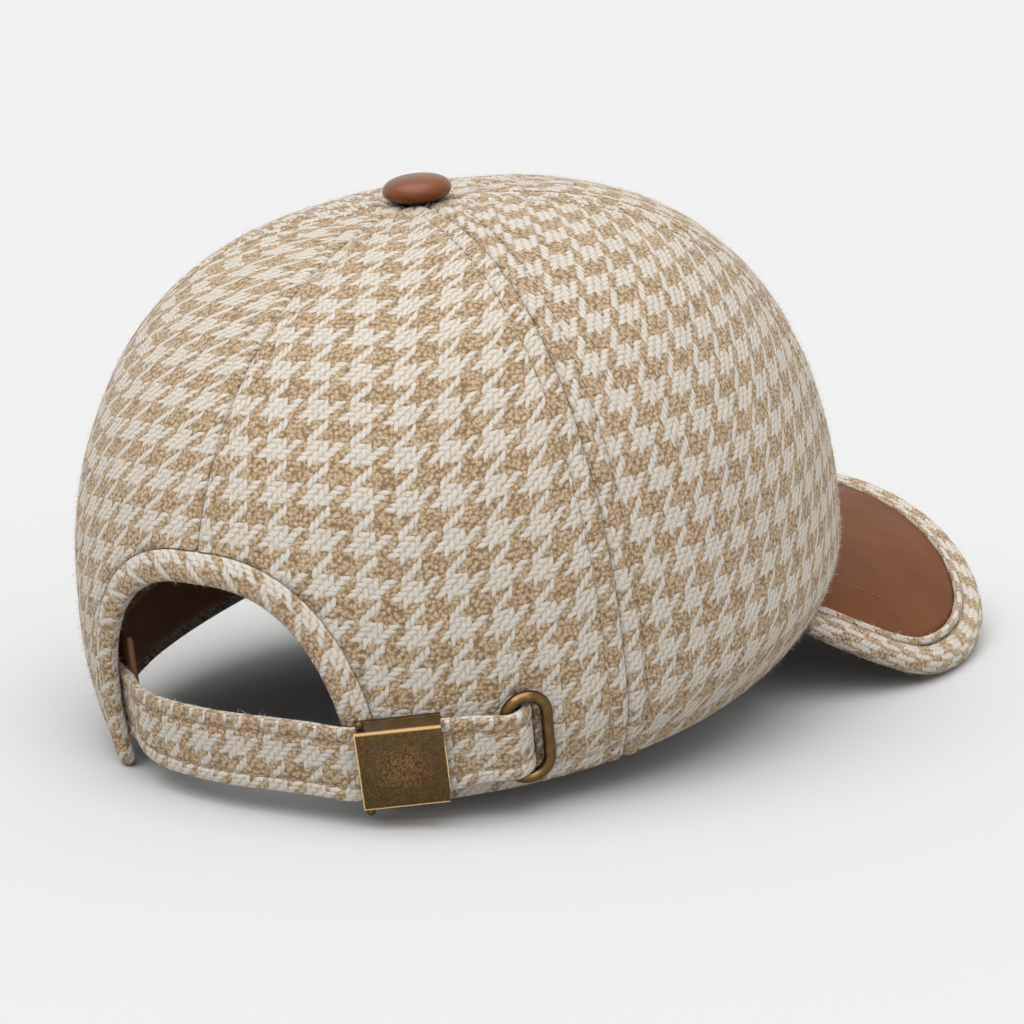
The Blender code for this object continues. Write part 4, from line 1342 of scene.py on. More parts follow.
@dataclass
class WoolCrown:
    """Six wool panels with rolled seams, topstitching and a folded hem."""

    stitch_away: float = 4.7 * MM
    stitch_proud: float = 0.02 * MM
    hem_stitch: float = 5.2 * MM
    round_button: float = 11.0 * MM
    beside_arch: float = 9.2 * MM
    seam_depth: float = 0.9 * MM
    seam_inset: float = 0.04 * MM
    waviness: float = 0.16 * MM
    middle_columns: int = 20
    rows: int = 58
    names: tuple[str, ...] = (
        "back_right",
        "side_right",
        "front_right",
        "front_left",
        "side_left",
        "back_left",
    )
    panels: list[Piece] = field(default_factory=list)

    def edge_places(self) -> np.ndarray:
        """Distances from a seam or from the hem where the mesh needs a line."""
        return np.array([0.0, 0.25, 0.6, 1.1, 1.8, 2.8, 3.8, 4.3, 4.7, 5.1, 5.7, 6.8, 8.4]) * MM

    def relief(self, seam: np.ndarray, hem: np.ndarray) -> np.ndarray:
        """Height of the sewn cloth over its plain form.

        Args:
            seam: Distance to the nearest seam.
            hem: Distance to the lower edge.

        Returns:
            The height.
        """
        roll = -self.seam_depth * np.maximum(1.0 - seam / (1.3 * MM), 0.0) ** 2
        puff = 0.28 * MM * bell(seam, 2.6 * MM, 1.7 * MM)
        dip = -0.42 * MM * bell(seam, self.stitch_away, 0.5 * MM)
        fold = -0.8 * MM * np.maximum(1.0 - hem / (1.1 * MM), 0.0) ** 2
        band = 0.20 * MM * bell(hem, 2.7 * MM, 1.8 * MM) - 0.40 * MM * bell(hem, self.hem_stitch, 0.55 * MM)
        return roll + puff + dip + fold + band

    def row_shares(self, middle: float) -> np.ndarray:
        """Where the mesh's rows lie between the lower edge and the button's hole.

        Args:
            middle: Turn of the panel's middle.

        Returns:
            The rows' shares of the climb.
        """
        start = FORM.lower_edge(middle) / FORM.widest_height
        climbs = np.linspace(start, float(FORM.hole_climb(np.array(middle))), 400)
        length = run_of(FORM.shell(np.full(400, middle), climbs))
        low = self.edge_places()
        wanted = np.concatenate([low, np.linspace(low[-1], length[-1], self.rows - len(low) + 1)[1:]])
        return (np.interp(wanted, length, climbs) - climbs[0]) / (climbs[-1] - climbs[0])

    def panel_mesh(self, name: str, first: float, last: float) -> Mesh:
        """Builds one panel.

        Args:
            name: The mesh's name.
            first: Turn of its first seam.
            last: Turn of its last seam.

        Returns:
            The mesh.
        """
        dense = np.linspace(first, last, 121)
        starts = FORM.lower_edge(dense) / FORM.widest_height
        low = self.edge_places()
        turns, heights, seams, across = [], [], [], []
        for share in self.row_shares((first + last) / 2.0):
            row_climb = starts + (FORM.hole_climb(dense) - starts) * share
            run = run_of(FORM.shell(dense, row_climb))
            half = run[-1] / 2.0 - self.seam_inset
            edges = low * min(1.0, 0.82 * half / low[-1])
            side = half - edges
            inside = np.linspace(-side[-1], side[-1], self.middle_columns + 1)[1:-1]
            places = np.concatenate([-side, inside, side[::-1]])
            turns.append(np.interp(places + run[-1] / 2.0, run, dense))
            heights.append(np.interp(turns[-1], dense, row_climb))
            seams.append(half - np.abs(places))
            across.append(places)
        turn_grid, climb_grid = np.array(turns), np.array(heights)
        shell = FORM.shell(turn_grid, climb_grid)
        steps = np.linalg.norm(np.diff(shell, axis=0), axis=2)
        rise = np.concatenate([np.zeros((1, steps.shape[1])), np.cumsum(steps, axis=0)])
        wide = [np.interp(1.0, climb_grid[:, column], rise[:, column]) for column in range(rise.shape[1])]
        up = rise - np.array(wide)[None, :]
        slant = rise + np.array(across) * 0.4
        wave = self.waviness * ripple(slant, (19.0 * MM, 31.0 * MM, 47.0 * MM), first * 3.0)
        calm = smooth_step(np.array(seams) / (9.0 * MM)) * smooth_step(rise / (9.0 * MM))
        proud = self.relief(np.array(seams), rise) + wave * calm
        outer = FORM.at(turn_grid, climb_grid, proud)
        inner = FORM.at(turn_grid, climb_grid, np.minimum(proud, 0.0) * 0.3 - FORM.cloth)
        flat = np.stack([np.array(across), up], axis=-1)
        return sheet_mesh(name, outer, inner, {"weave": flat})

    def seam_paths(self) -> list[np.ndarray]:
        """Paths of the topstitching beside the six seams and round the hem.

        Returns:
            The paths.
        """
        paths = []
        clear = FORM.arch_line(self.beside_arch, 160)
        for seam in np.radians(np.arange(0.0, 360.0, 60.0)):
            for side in Side:
                climbs = np.linspace(float(FORM.climb_of(np.array(6.4 * MM))), 1.93, 260)
                centre = FORM.shell(seam, climbs)
                setback = FORM.apex_setback * (centre[:, 2] / FORM.height) ** 2
                radius = np.hypot(centre[:, 0], centre[:, 1] - setback)
                turns = seam + side.value * np.arcsin(np.minimum(self.stitch_away / radius, 1.0))
                line = FORM.at(turns, climbs, self.stitch_proud)
                keep = radius > self.round_button
                if seam == 0.0:
                    keep &= line[:, 2] > clear[:, 1].max()
                paths.append(line[keep])
        start = float(clear[-1, 0]) + 0.01
        turns = np.linspace(start, 2.0 * math.pi - start, 420)
        climbs = (FORM.lower_edge(turns) + self.hem_stitch) / FORM.widest_height
        paths.append(FORM.at(turns, climbs, self.stitch_proud))
        return paths

    def build(self, arch: "RearArch", strap: "AdjustingStrap", sewer: StitchSewer) -> None:
        """Builds the panels and their stitches.

        Args:
            arch: The rear arch, which cuts the back panels.
            strap: The strap, whose tail needs a slot.
            sewer: The stitch sewer.
        """
        seams = np.radians(np.arange(0.0, 361.0, 60.0))
        for name, first, last in zip(self.names, seams, seams[1:]):
            mesh = self.panel_mesh(f"panel_{name}", first, last)
            if name.startswith("back"):
                mesh = cut_with(mesh, arch.plug_mesh())
            if name == "back_right":
                mesh = cut_with(mesh, strap.slot_mesh())
            self.panels.append(dress(f"wool_{name}", mesh, WOOL, f"panel_{name}"))
        hand_over(sewer.sew("seam_stitches", self.seam_paths(), WOOL_THREAD))


@dataclass
class RearArch:
    """The padded binding round the rear arch, lined with tape at its top and with leather at its feet."""

    width: float = 7.1 * MM
    tape_end: float = 27.0 * MM
    right_trim: float = 2.6 * MM
    stations: int = 190
    cutter_gap: float = 0.1 * MM
    end_reach: float = 3.2 * MM
    end_share: float = 0.45
    unevenness: float = 0.03
    tape_from: float = 0.28

    @property
    def thickness(self) -> float:
        """The binding's thickness through the wall that it wraps."""
        return FORM.bound_rise + FORM.cloth + FORM.bound_under

    def plug_mesh(self) -> Mesh:
        """The solid that cuts the arch out of a wall."""
        line = FORM.arch_line(self.width + self.cutter_gap, 90)
        deep = -FORM.widest_height / 3.0
        floor = np.stack([np.linspace(line[-1, 0], line[0, 0], 12), np.full(12, deep)], axis=1)
        loop = np.concatenate([line, floor])
        climbs = FORM.climb_of(loop[:, 1])
        reach = 5.0 * FORM.cloth
        rims = [FORM.at(loop[:, 0], climbs, side * reach) for side in (1.0, -1.0)]
        centre = FORM.climb_of(np.array([FORM.arch_height / 2.0]))
        tips = [FORM.at(np.zeros(1), centre, side * reach) for side in (1.0, -1.0)]
        count = len(loop)
        faces: Faces = []
        for k in range(count):
            after = (k + 1) % count
            faces += [(k, after, count + after, count + k), (k, 2 * count, after)]
            faces.append((count + k, count + after, 2 * count + 1))
        return mesh_of("arch_plug", np.concatenate([*rims, *tips]), faces, {})

    def section(self) -> np.ndarray:
        """The binding's section: a soft flat oval, a little fuller near its middle."""
        loop = oval(self.width / 2.0, self.thickness / 2.0, 36, 2.9)
        outer = loop[:, 1] > 0.0
        loop[outer, 1] += 0.25 * MM * bell(loop[outer, 0], 0.5 * MM, 1.8 * MM)
        return loop

    def build(self) -> Piece:
        """Builds the binding.

        Returns:
            The binding.
        """
        line = FORM.arch_line(self.width / 2.0, self.stations)
        run = run_of(FORM.shell(line[:, 0], FORM.climb_of(line[:, 1])))
        line = line[run < run[-1] - self.right_trim]
        climbs = FORM.climb_of(line[:, 1])
        normals = FORM.normal(line[:, 0], climbs)
        centres = FORM.at(line[:, 0], climbs, FORM.bound_rise - self.thickness / 2.0)
        run = run_of(centres)
        across = unit(np.cross(unit(np.gradient(centres, axis=0)), normals))
        sizes = round_ends(run, self.end_reach, self.end_share)
        uneven = 1.0 + self.unevenness * ripple(run, (11.0 * MM, 17.0 * MM, 29.0 * MM), 2.0)
        section = self.section()
        sections = [section * np.array([size, size * change]) for size, change in zip(sizes, uneven)]
        mesh = sweep_mesh("back_binding", centres, across, normals, sections)
        opening = FORM.at(np.zeros(1), FORM.climb_of(np.array([FORM.arch_height * 0.4])), 0.0)[0]
        top = self.stations // 2
        inwards = 1.0 if (opening - centres[top]) @ across[top] > 0.0 else -1.0
        for index in range((len(line) - 1) * len(section)):
            station, place = divmod(index, len(section))
            if section[place, 1] < -0.1 * MM and section[place, 0] * inwards > self.width * self.tape_from:
                mesh.polygons[index].material_index = 2 if centres[station, 2] < self.tape_end else 1
        item = settle("arch_binding", mesh, [WOOL, TAPE, BAND_LEATHER])
        hand_over(item, ["back_binding"])
        return item


@dataclass
class Inside:
    """The lining dome and the leather sweatband below it."""

    lining_wall: float = 1.0 * MM
    lining_depth: float = 0.6 * MM
    band_wall: float = 1.2 * MM
    band_top: float = 30.5 * MM
    band_bottom: float = 4.0 * MM
    band_seam: float = 12.0 * MM
    band_end: float = 1.075 * MM
    hem_room: float = 1.7 * MM
    strap_room: float = 3.9 * MM
    right_swing: tuple[float, float] = (math.radians(53.0), math.radians(13.0))
    left_swing: tuple[float, float] = (math.radians(36.0), math.radians(12.0))

    def lining(self, arch: RearArch) -> Piece:
        """Builds the lining.

        Args:
            arch: The rear arch, which cuts it.

        Returns:
            The lining.
        """
        columns, rows = 132, 30
        turns = np.arange(columns) * 2.0 * math.pi / columns
        low = FORM.climb_of(np.full(columns, self.band_top + FORM.gap))
        shares = np.linspace(0.0, 1.0, rows)[:, None]
        climbs = low + (FORM.hole_climb(turns) - low) * shares
        grid = np.broadcast_to(turns, climbs.shape)
        depth = FORM.cloth + self.lining_depth
        folds = 0.25 * MM * ripple(grid * FORM.half_width, (9.0 * MM, 23.0 * MM), 1.0) * (1.0 - shares)
        outer = FORM.at(grid, climbs, -depth)
        inner = FORM.at(grid, climbs, -depth - self.lining_wall - np.maximum(folds, 0.0))
        edge = FORM.arch_line(arch.width, 240)
        rim = FORM.shell(edge[:, 0], FORM.climb_of(edge[:, 1]))
        away = np.linalg.norm(outer.reshape(-1, 1, 3) - rim[None], axis=2).min(axis=1)
        away = away.reshape(climbs.shape)
        flat = np.stack([grid * FORM.half_width, climbs * FORM.widest_height * 4.0], axis=-1)
        tape = np.stack([away, away], axis=-1)
        whole = sheet_mesh("lining", outer, inner, {"weave": flat, "tape": tape}, wrap=True)
        open_dome = cut_with(whole, arch.plug_mesh())
        return dress("lining_dome", open_dome, LiningCloth(), "crown_lining")

    def sweatband(self) -> Piece:
        """Builds the sweatband.

        Returns:
            The sweatband.
        """
        end = math.asin(FORM.arch_half_width / FORM.half_width) + self.band_end / FORM.half_width
        turns = np.linspace(end, 2.0 * math.pi - end, 300)
        right = 1.0 - smooth_step((turns - self.right_swing[0]) / self.right_swing[1])
        left = 1.0 - smooth_step((2.0 * math.pi - turns - self.left_swing[0]) / self.left_swing[1])
        depth = FORM.cloth + self.lining_depth + self.strap_room * np.maximum(right, left)
        low = [4.0, 4.3, 5.0, 7.0, 9.5, 11.2, 11.7, 12.0]
        high = [12.3, 12.8, 15.0, 19.0, 24.0, 28.0, 30.1, 30.5]
        turn_grid, height_grid = np.meshgrid(turns, np.array(low + high) * MM)
        hang = np.maximum(self.band_bottom - self.hem_room - FORM.lower_edge(turn_grid), 0.0)
        low_share = np.clip((self.band_seam - height_grid) / (self.band_seam - self.band_bottom), 0.0, 1.0)
        climbs = FORM.climb_of(height_grid - hang * low_share)
        run = turn_grid * FORM.half_width
        below = smooth_step((self.band_seam - height_grid) / (3.0 * MM))
        pucker = 0.22 * MM * ripple(run, (4.1 * MM, 6.7 * MM, 13.0 * MM), 0.7) * below
        seam = -0.35 * MM * bell(height_grid, self.band_seam, 0.45 * MM)
        bottom, top = (bell(height_grid, level, 0.3 * MM) for level in (self.band_bottom, self.band_top))
        ends = -0.35 * MM * (bottom + top)
        outer = FORM.at(turn_grid, climbs, -depth[None, :])
        inner = FORM.at(turn_grid, climbs, -depth[None, :] - self.band_wall - pucker - seam - ends)
        flat = np.stack([run, height_grid], axis=-1)
        mesh = sheet_mesh("sweatband", outer, inner, {"weave": flat})
        return dress("leather_sweatband", mesh, BAND_LEATHER, "sweatband")


@dataclass
class TopButton:
    """The leather-covered button."""

    diameter: float = 16.8 * MM
    height: float = 6.4 * MM
    shank: float = 7.0 * MM
    sides: int = 56

    def build(self) -> Piece:
        """Builds the button.

        Returns:
            The button.
        """
        half, seat = self.diameter / 2.0, FORM.height + FORM.gap
        low = math.sin(math.radians(-62.0))
        profile = [(self.shank / 2.0, FORM.height - FORM.cloth), (self.shank / 2.0, seat)]
        for angle in np.radians(np.linspace(-62.0, 84.0, 24)):
            rise = (math.sin(angle) - low) / (1.0 - low)
            profile.append((half * math.cos(angle) ** 0.8, seat + self.height * rise))
        around = np.arange(self.sides) * 2.0 * math.pi / self.sides
        points = []
        for level, (radius, z) in enumerate(profile):
            pull = 1.0 + 0.006 * np.sin(around * 9.0 + level * 0.2) * (level < 12)
            x, y = radius * pull * np.cos(around), radius * pull * np.sin(around) + FORM.apex_setback
            points.append(np.stack([x, y, np.full(self.sides, z)], axis=1))
        faces = quads(len(profile), self.sides, True)
        last = len(profile) * self.sides
        tips = np.array([[0.0, FORM.apex_setback, z] for z in (profile[0][1], seat + self.height)])
        for k in range(self.sides):
            after = (k + 1) % self.sides
            faces += [(after, k, last), (last - self.sides + k, last - self.sides + after, last + 1)]
        mesh = mesh_of("button", np.concatenate([*points, tips]), faces, {})
        return dress("leather_button", mesh, BUTTON_LEATHER, "button")


# Peak


@dataclass
class LeatherPeak:
    """The peak: leather top, cloth-covered board, piping, padded binding and a short row of stitch marks."""

    reach: float = 69.5 * MM
    half_width: float = 90.5 * MM
    widest_ahead: float = 84.3 * MM
    corner_turn: float = math.radians(65.3)
    flare: float = math.radians(58.0)
    pitch: float = math.radians(14.9)
    droop: float = 37.5 * MM
    droop_power: float = 2.3
    binding: float = 8.4 * MM
    binding_tube: float = 0.96
    board_inset: float = 0.4
    piping: float = 2.4 * MM
    leather_roll: float = 0.7 * MM
    leather_clear: float = 0.05 * MM
    leather: float = 1.3 * MM
    board: float = 2.0 * MM
    board_under: float = 1.8 * MM
    handles: tuple[float, float, float, float] = (0.36, 0.40, 0.50, 0.71)
    belly: float = 1.6 * MM
    belly_reach: float = 26.0 * MM
    flatness: float = 0.84
    # The short row of stitches in the leather beside the crown, in the cap's own frame
    marks: tuple[tuple[float, float, float], ...] = (
        (-0.0678, -0.0700, -0.00285),
        (-0.0688, -0.0719, -0.0036),
        (-0.0706, -0.0753, -0.0055),
        (-0.0727, -0.0784, -0.0078),
        (-0.0746, -0.0817, -0.0102),
        (-0.0753, -0.0838, -0.0114),
    )
    mark_sizes: StitchSizes = StitchSizes(2.6 * MM, 1.8 * MM, 0.3 * MM, 21)

    @staticmethod
    def curve(points: Sequence[np.ndarray], count: int) -> np.ndarray:
        """Points of a cubic curve through its first and last control point."""
        share = np.linspace(0.0, 1.0, count)[:, None]
        rest = 1.0 - share
        start, leave, arrive, end = points
        leaving, arriving = 3.0 * leave * share * rest**2, 3.0 * arrive * share**2 * rest
        return start * rest**3 + leaving + arriving + end * share**3

    def rim_plan(self) -> np.ndarray:
        """Plan of the rim's centre line, from the wearer's right corner to the left one."""
        turn = math.pi + self.corner_turn
        corner = FORM.shell(turn, FORM.lower_edge(turn) / FORM.widest_height)[:2]
        widest = np.array([self.half_width, -self.widest_ahead])
        front = np.array([0.0, -(FORM.front_reach + self.reach)])
        side_run, front_run = corner[1] - widest[1], widest[1] - front[1]
        out = np.array([math.cos(self.flare), -math.sin(self.flare)])
        leave, arrive, start, end = self.handles
        back = [corner, corner + out * side_run * leave, widest + (0.0, side_run * arrive), widest]
        ahead = [widest, widest - (0.0, front_run * start), front + (widest[0] * end, 0.0), front]
        half = np.concatenate([self.curve(back, 60), self.curve(ahead, 120)[1:]])
        return np.concatenate([half * np.array([-1.0, 1.0]), half[::-1][1:]])

    def height(self, plan: np.ndarray) -> np.ndarray:
        """Height of the middle surface over a plan point."""
        fall = math.tan(self.pitch) * (-plan[..., 1] - FORM.front_reach)
        droop = self.droop * (np.abs(plan[..., 0]) / self.half_width) ** self.droop_power
        return FORM.edge_wave - fall - droop

    def normal(self, plan: np.ndarray) -> np.ndarray:
        """Upward normal of the middle surface."""
        step = 1e-5
        along_x, along_y = (
            self.height(plan + change) - self.height(plan - change) for change in step * np.identity(2)
        )
        return unit(np.stack([-along_x, -along_y, np.full(along_x.shape, 2.0 * step)], axis=-1))

    def inset_plan(self, inset: float, outside: float, count: int) -> np.ndarray:
        """The rim's plan moved inwards, where it is outside the crown.

        Args:
            inset: Distance inwards from the rim's centre line, measured down the slope.
            outside: Least distance outside the crown's lower edge.
            count: The number of points.

        Returns:
            The plan's points.
        """
        rim = self.rim_plan()
        along = unit(np.gradient(rim, axis=0))
        inward = np.stack([-along[:, 1], along[:, 0]], axis=1)
        if inward[len(inward) // 2][1] < 0.0:
            inward = -inward
        step = 1.0 * MM
        slope = (self.height(rim + inward * step) - self.height(rim)) / step
        moved = rim + inward * (inset / np.sqrt(1.0 + slope * slope))[:, None]
        turns = FORM.turn_of(np.concatenate([moved, np.zeros((len(moved), 1))], axis=1))
        edge = FORM.shell(turns, FORM.lower_edge(turns) / FORM.widest_height)[:, :2]
        share = np.hypot(*moved.T) / np.hypot(*edge.T)
        return resample(moved[share > 1.0 + outside / FORM.front_reach], count)

    def leather_top(self) -> float:
        """Height of the leather's upper face over the middle surface."""
        return self.board - self.board_under + FORM.gap + self.leather

    def piping_place(self) -> tuple[float, float]:
        """Inset of the piping from the rim and its height over the middle surface."""
        radius = self.piping / 2.0
        proud = self.board - self.board_under + FORM.gap + radius
        return math.sqrt((self.binding / 2.0 + radius + FORM.gap) ** 2 - proud**2), proud

    def sheet(self, name: str, inset: float, low: float, high: float, crowned: float, belly: float) -> Mesh:
        """Builds one sheet of the peak.

        Args:
            name: The mesh's name.
            inset: Distance of its outer border inside the rim's centre line.
            low: Its lower face's height over the middle surface.
            high: Its upper face's height over the middle surface.
            crowned: How far its upper face rolls down at its border.
            belly: How far its middle rises over its border.

        Returns:
            The mesh.
        """
        columns, rows = 120, 34
        rim = self.inset_plan(inset, self.piping / 2.0, columns + 1)
        half_turn = math.pi - float(FORM.turn_of(np.array([rim[0, 0], rim[0, 1], 0.0])))
        turns = math.pi + np.linspace(-half_turn, half_turn, columns + 1)
        edges = FORM.lower_edge(turns)
        arc = FORM.at(turns, edges / FORM.widest_height, -FORM.cloth)[:, :2]
        lift = edges + FORM.gap - self.leather_top() - self.height(arc)
        shares = 1.0 - (1.0 - np.linspace(0.0, 1.0, rows + 1)) ** 1.4
        upper, under, flat = [], [], []
        for share in shares:
            plan = arc * (1.0 - share) + rim * share
            heights = self.height(plan) + lift * (1.0 - smooth_step(share))
            middle = np.concatenate([plan, heights[:, None]], axis=1)
            normal = self.normal(plan)
            away = np.linalg.norm(rim - plan, axis=1)
            swell = belly * smooth_step(away / self.belly_reach) * smooth_step(share * 3.0)
            middle += normal * swell[:, None]
            roll = crowned * np.maximum(1.0 - away / (1.6 * MM), 0.0) ** 2
            slant = plan[:, 0] + plan[:, 1] * 0.7
            soft = 0.10 * MM * ripple(slant, (41.0 * MM, 27.0 * MM), 0.3) * (crowned > 0.0)
            upper.append(middle + normal * (high - roll + soft * smooth_step(away / (9.0 * MM)))[:, None])
            under.append(middle + normal * low)
            flat.append(plan)
        return sheet_mesh(name, np.array(upper), np.array(under), {"weave": np.array(flat)})

    def cord_mesh(
        self, name: str, inset: float, proud: float, diameter: float, sides: int, flatness: float
    ) -> Mesh:
        """Builds a round cord along the rim.

        Args:
            name: The mesh's name.
            inset: Its distance inside the rim's centre line.
            proud: Its height over the middle surface.
            diameter: Its thickness.
            sides: The number of points round it.
            flatness: Its thickness upwards as a share of its width.

        Returns:
            The mesh.
        """
        plan = self.inset_plan(inset, 0.0, 260)
        normals = self.normal(plan)
        centres = np.concatenate([plan, self.height(plan)[:, None]], axis=1) + normals * proud
        tangents = unit(np.gradient(centres, axis=0))
        across = unit(np.cross(tangents, normals))
        outward = np.cross(across, tangents)
        run = run_of(centres)
        near = np.minimum(run, run[-1] - run)
        sizes = 0.86 + 0.14 * smooth_step(near / (1.2 * diameter))
        waves = 0.012 * ripple(run, (5.3 * MM, 8.9 * MM, 21.0 * MM), diameter * 900.0)
        loop = oval(diameter / 2.0, diameter / 2.0 * flatness, sides)
        sections = [loop * size * (1.0 + wave) for size, wave in zip(sizes, waves)]
        return sweep_mesh(name, centres, across, outward, sections, Cut.BIAS)

    def build(self, sewer: StitchSewer) -> list[Piece]:
        """Builds the peak's pieces.

        Args:
            sewer: The stitch sewer.

        Returns:
            The wool pieces among them.
        """
        inset, proud = self.piping_place()
        leather_inset = inset + self.piping / 2.0 + self.leather_clear
        low = self.board - self.board_under + FORM.gap
        high, roll = self.leather_top(), self.leather_roll
        leather = self.sheet("peak_leather", leather_inset, low, high, roll, self.belly)
        dress("leather_top", leather, PEAK_LEATHER, "peak_leather")
        board_inset = self.binding * self.board_inset
        board = self.sheet("peak_board", board_inset, -self.board_under, low - FORM.gap, 0.0, 0.0)
        under = dress("peak_underside", board, WOOL, "peak_board")
        cord = self.cord_mesh("peak_piping", inset, proud, self.piping, 16, 1.0)
        piping = dress("peak_cord", cord, WOOL, "peak_piping")
        diameter = self.binding * self.binding_tube
        tube = self.cord_mesh("peak_binding", 0.0, 0.0, diameter, 30, self.flatness)
        rim = dress("peak_rim", tube, WOOL, "peak_binding")
        marks = sewer.sew("peak_stitches", [np.array(self.marks)], PEAK_THREAD, self.mark_sizes)
        hand_over(marks)
        return [under, piping, rim]


# Strap, clasp and ring


@dataclass
class Seat:
    """A place on the crown at the strap's height: X to the wearer's left, Y outwards, Z up the wall."""

    turn: float
    middle: float = 14.8 * MM
    span: float = 17.4 * MM

    def chord(self) -> np.ndarray:
        """Lower end, middle and upper end of the covered strip of wall."""
        return FORM.shell(self.turn, FORM.climb_of(self.middle + self.span * np.array([-0.5, 0.0, 0.5])))

    def bulge(self) -> float:
        """How far the wall bulges over the line between the strip's ends."""
        low, middle, high = self.chord()
        upward = unit(high - low)
        offset = middle - low
        return float(np.linalg.norm(offset - upward * (offset @ upward)))

    def matrix(self) -> np.ndarray:
        """The seat's matrix in the cap's own frame."""
        low, middle, high = self.chord()
        upward = unit(high - low)
        outward = FORM.normal(self.turn, FORM.climb_of(np.array(self.middle)))
        leftward = unit(np.cross(outward, upward))
        matrix = np.identity(4)
        matrix[:3, 0], matrix[:3, 1] = leftward, np.cross(upward, leftward)
        matrix[:3, 2], matrix[:3, 3] = upward, middle
        return matrix

    def place(self, points: Sequence[Sequence[float]]) -> np.ndarray:
        """Points in the seat's axes, in the cap's own frame."""
        matrix = self.matrix()
        return np.asarray(points, float) @ matrix[:3, :3].T + matrix[:3, 3]

    def to_model(self) -> Matrix:
        """The seat's matrix in the model's frame."""
        return FORM.matrix() @ Matrix(self.matrix().tolist())


@dataclass(frozen=True)
class RingSizes:
    """The oval ring's sizes."""

    height: float = 22.8 * MM
    width: float = 12.0 * MM
    wire: float = 2.7 * MM

    @property
    def bar(self) -> float:
        """How far the bar's centre lies from the ring's middle."""
        return (self.width - self.wire) / 2.0


CLASP_SEAT = Seat(math.radians(29.2))
RING_SEAT = Seat(math.radians(45.3))
RING = RingSizes()


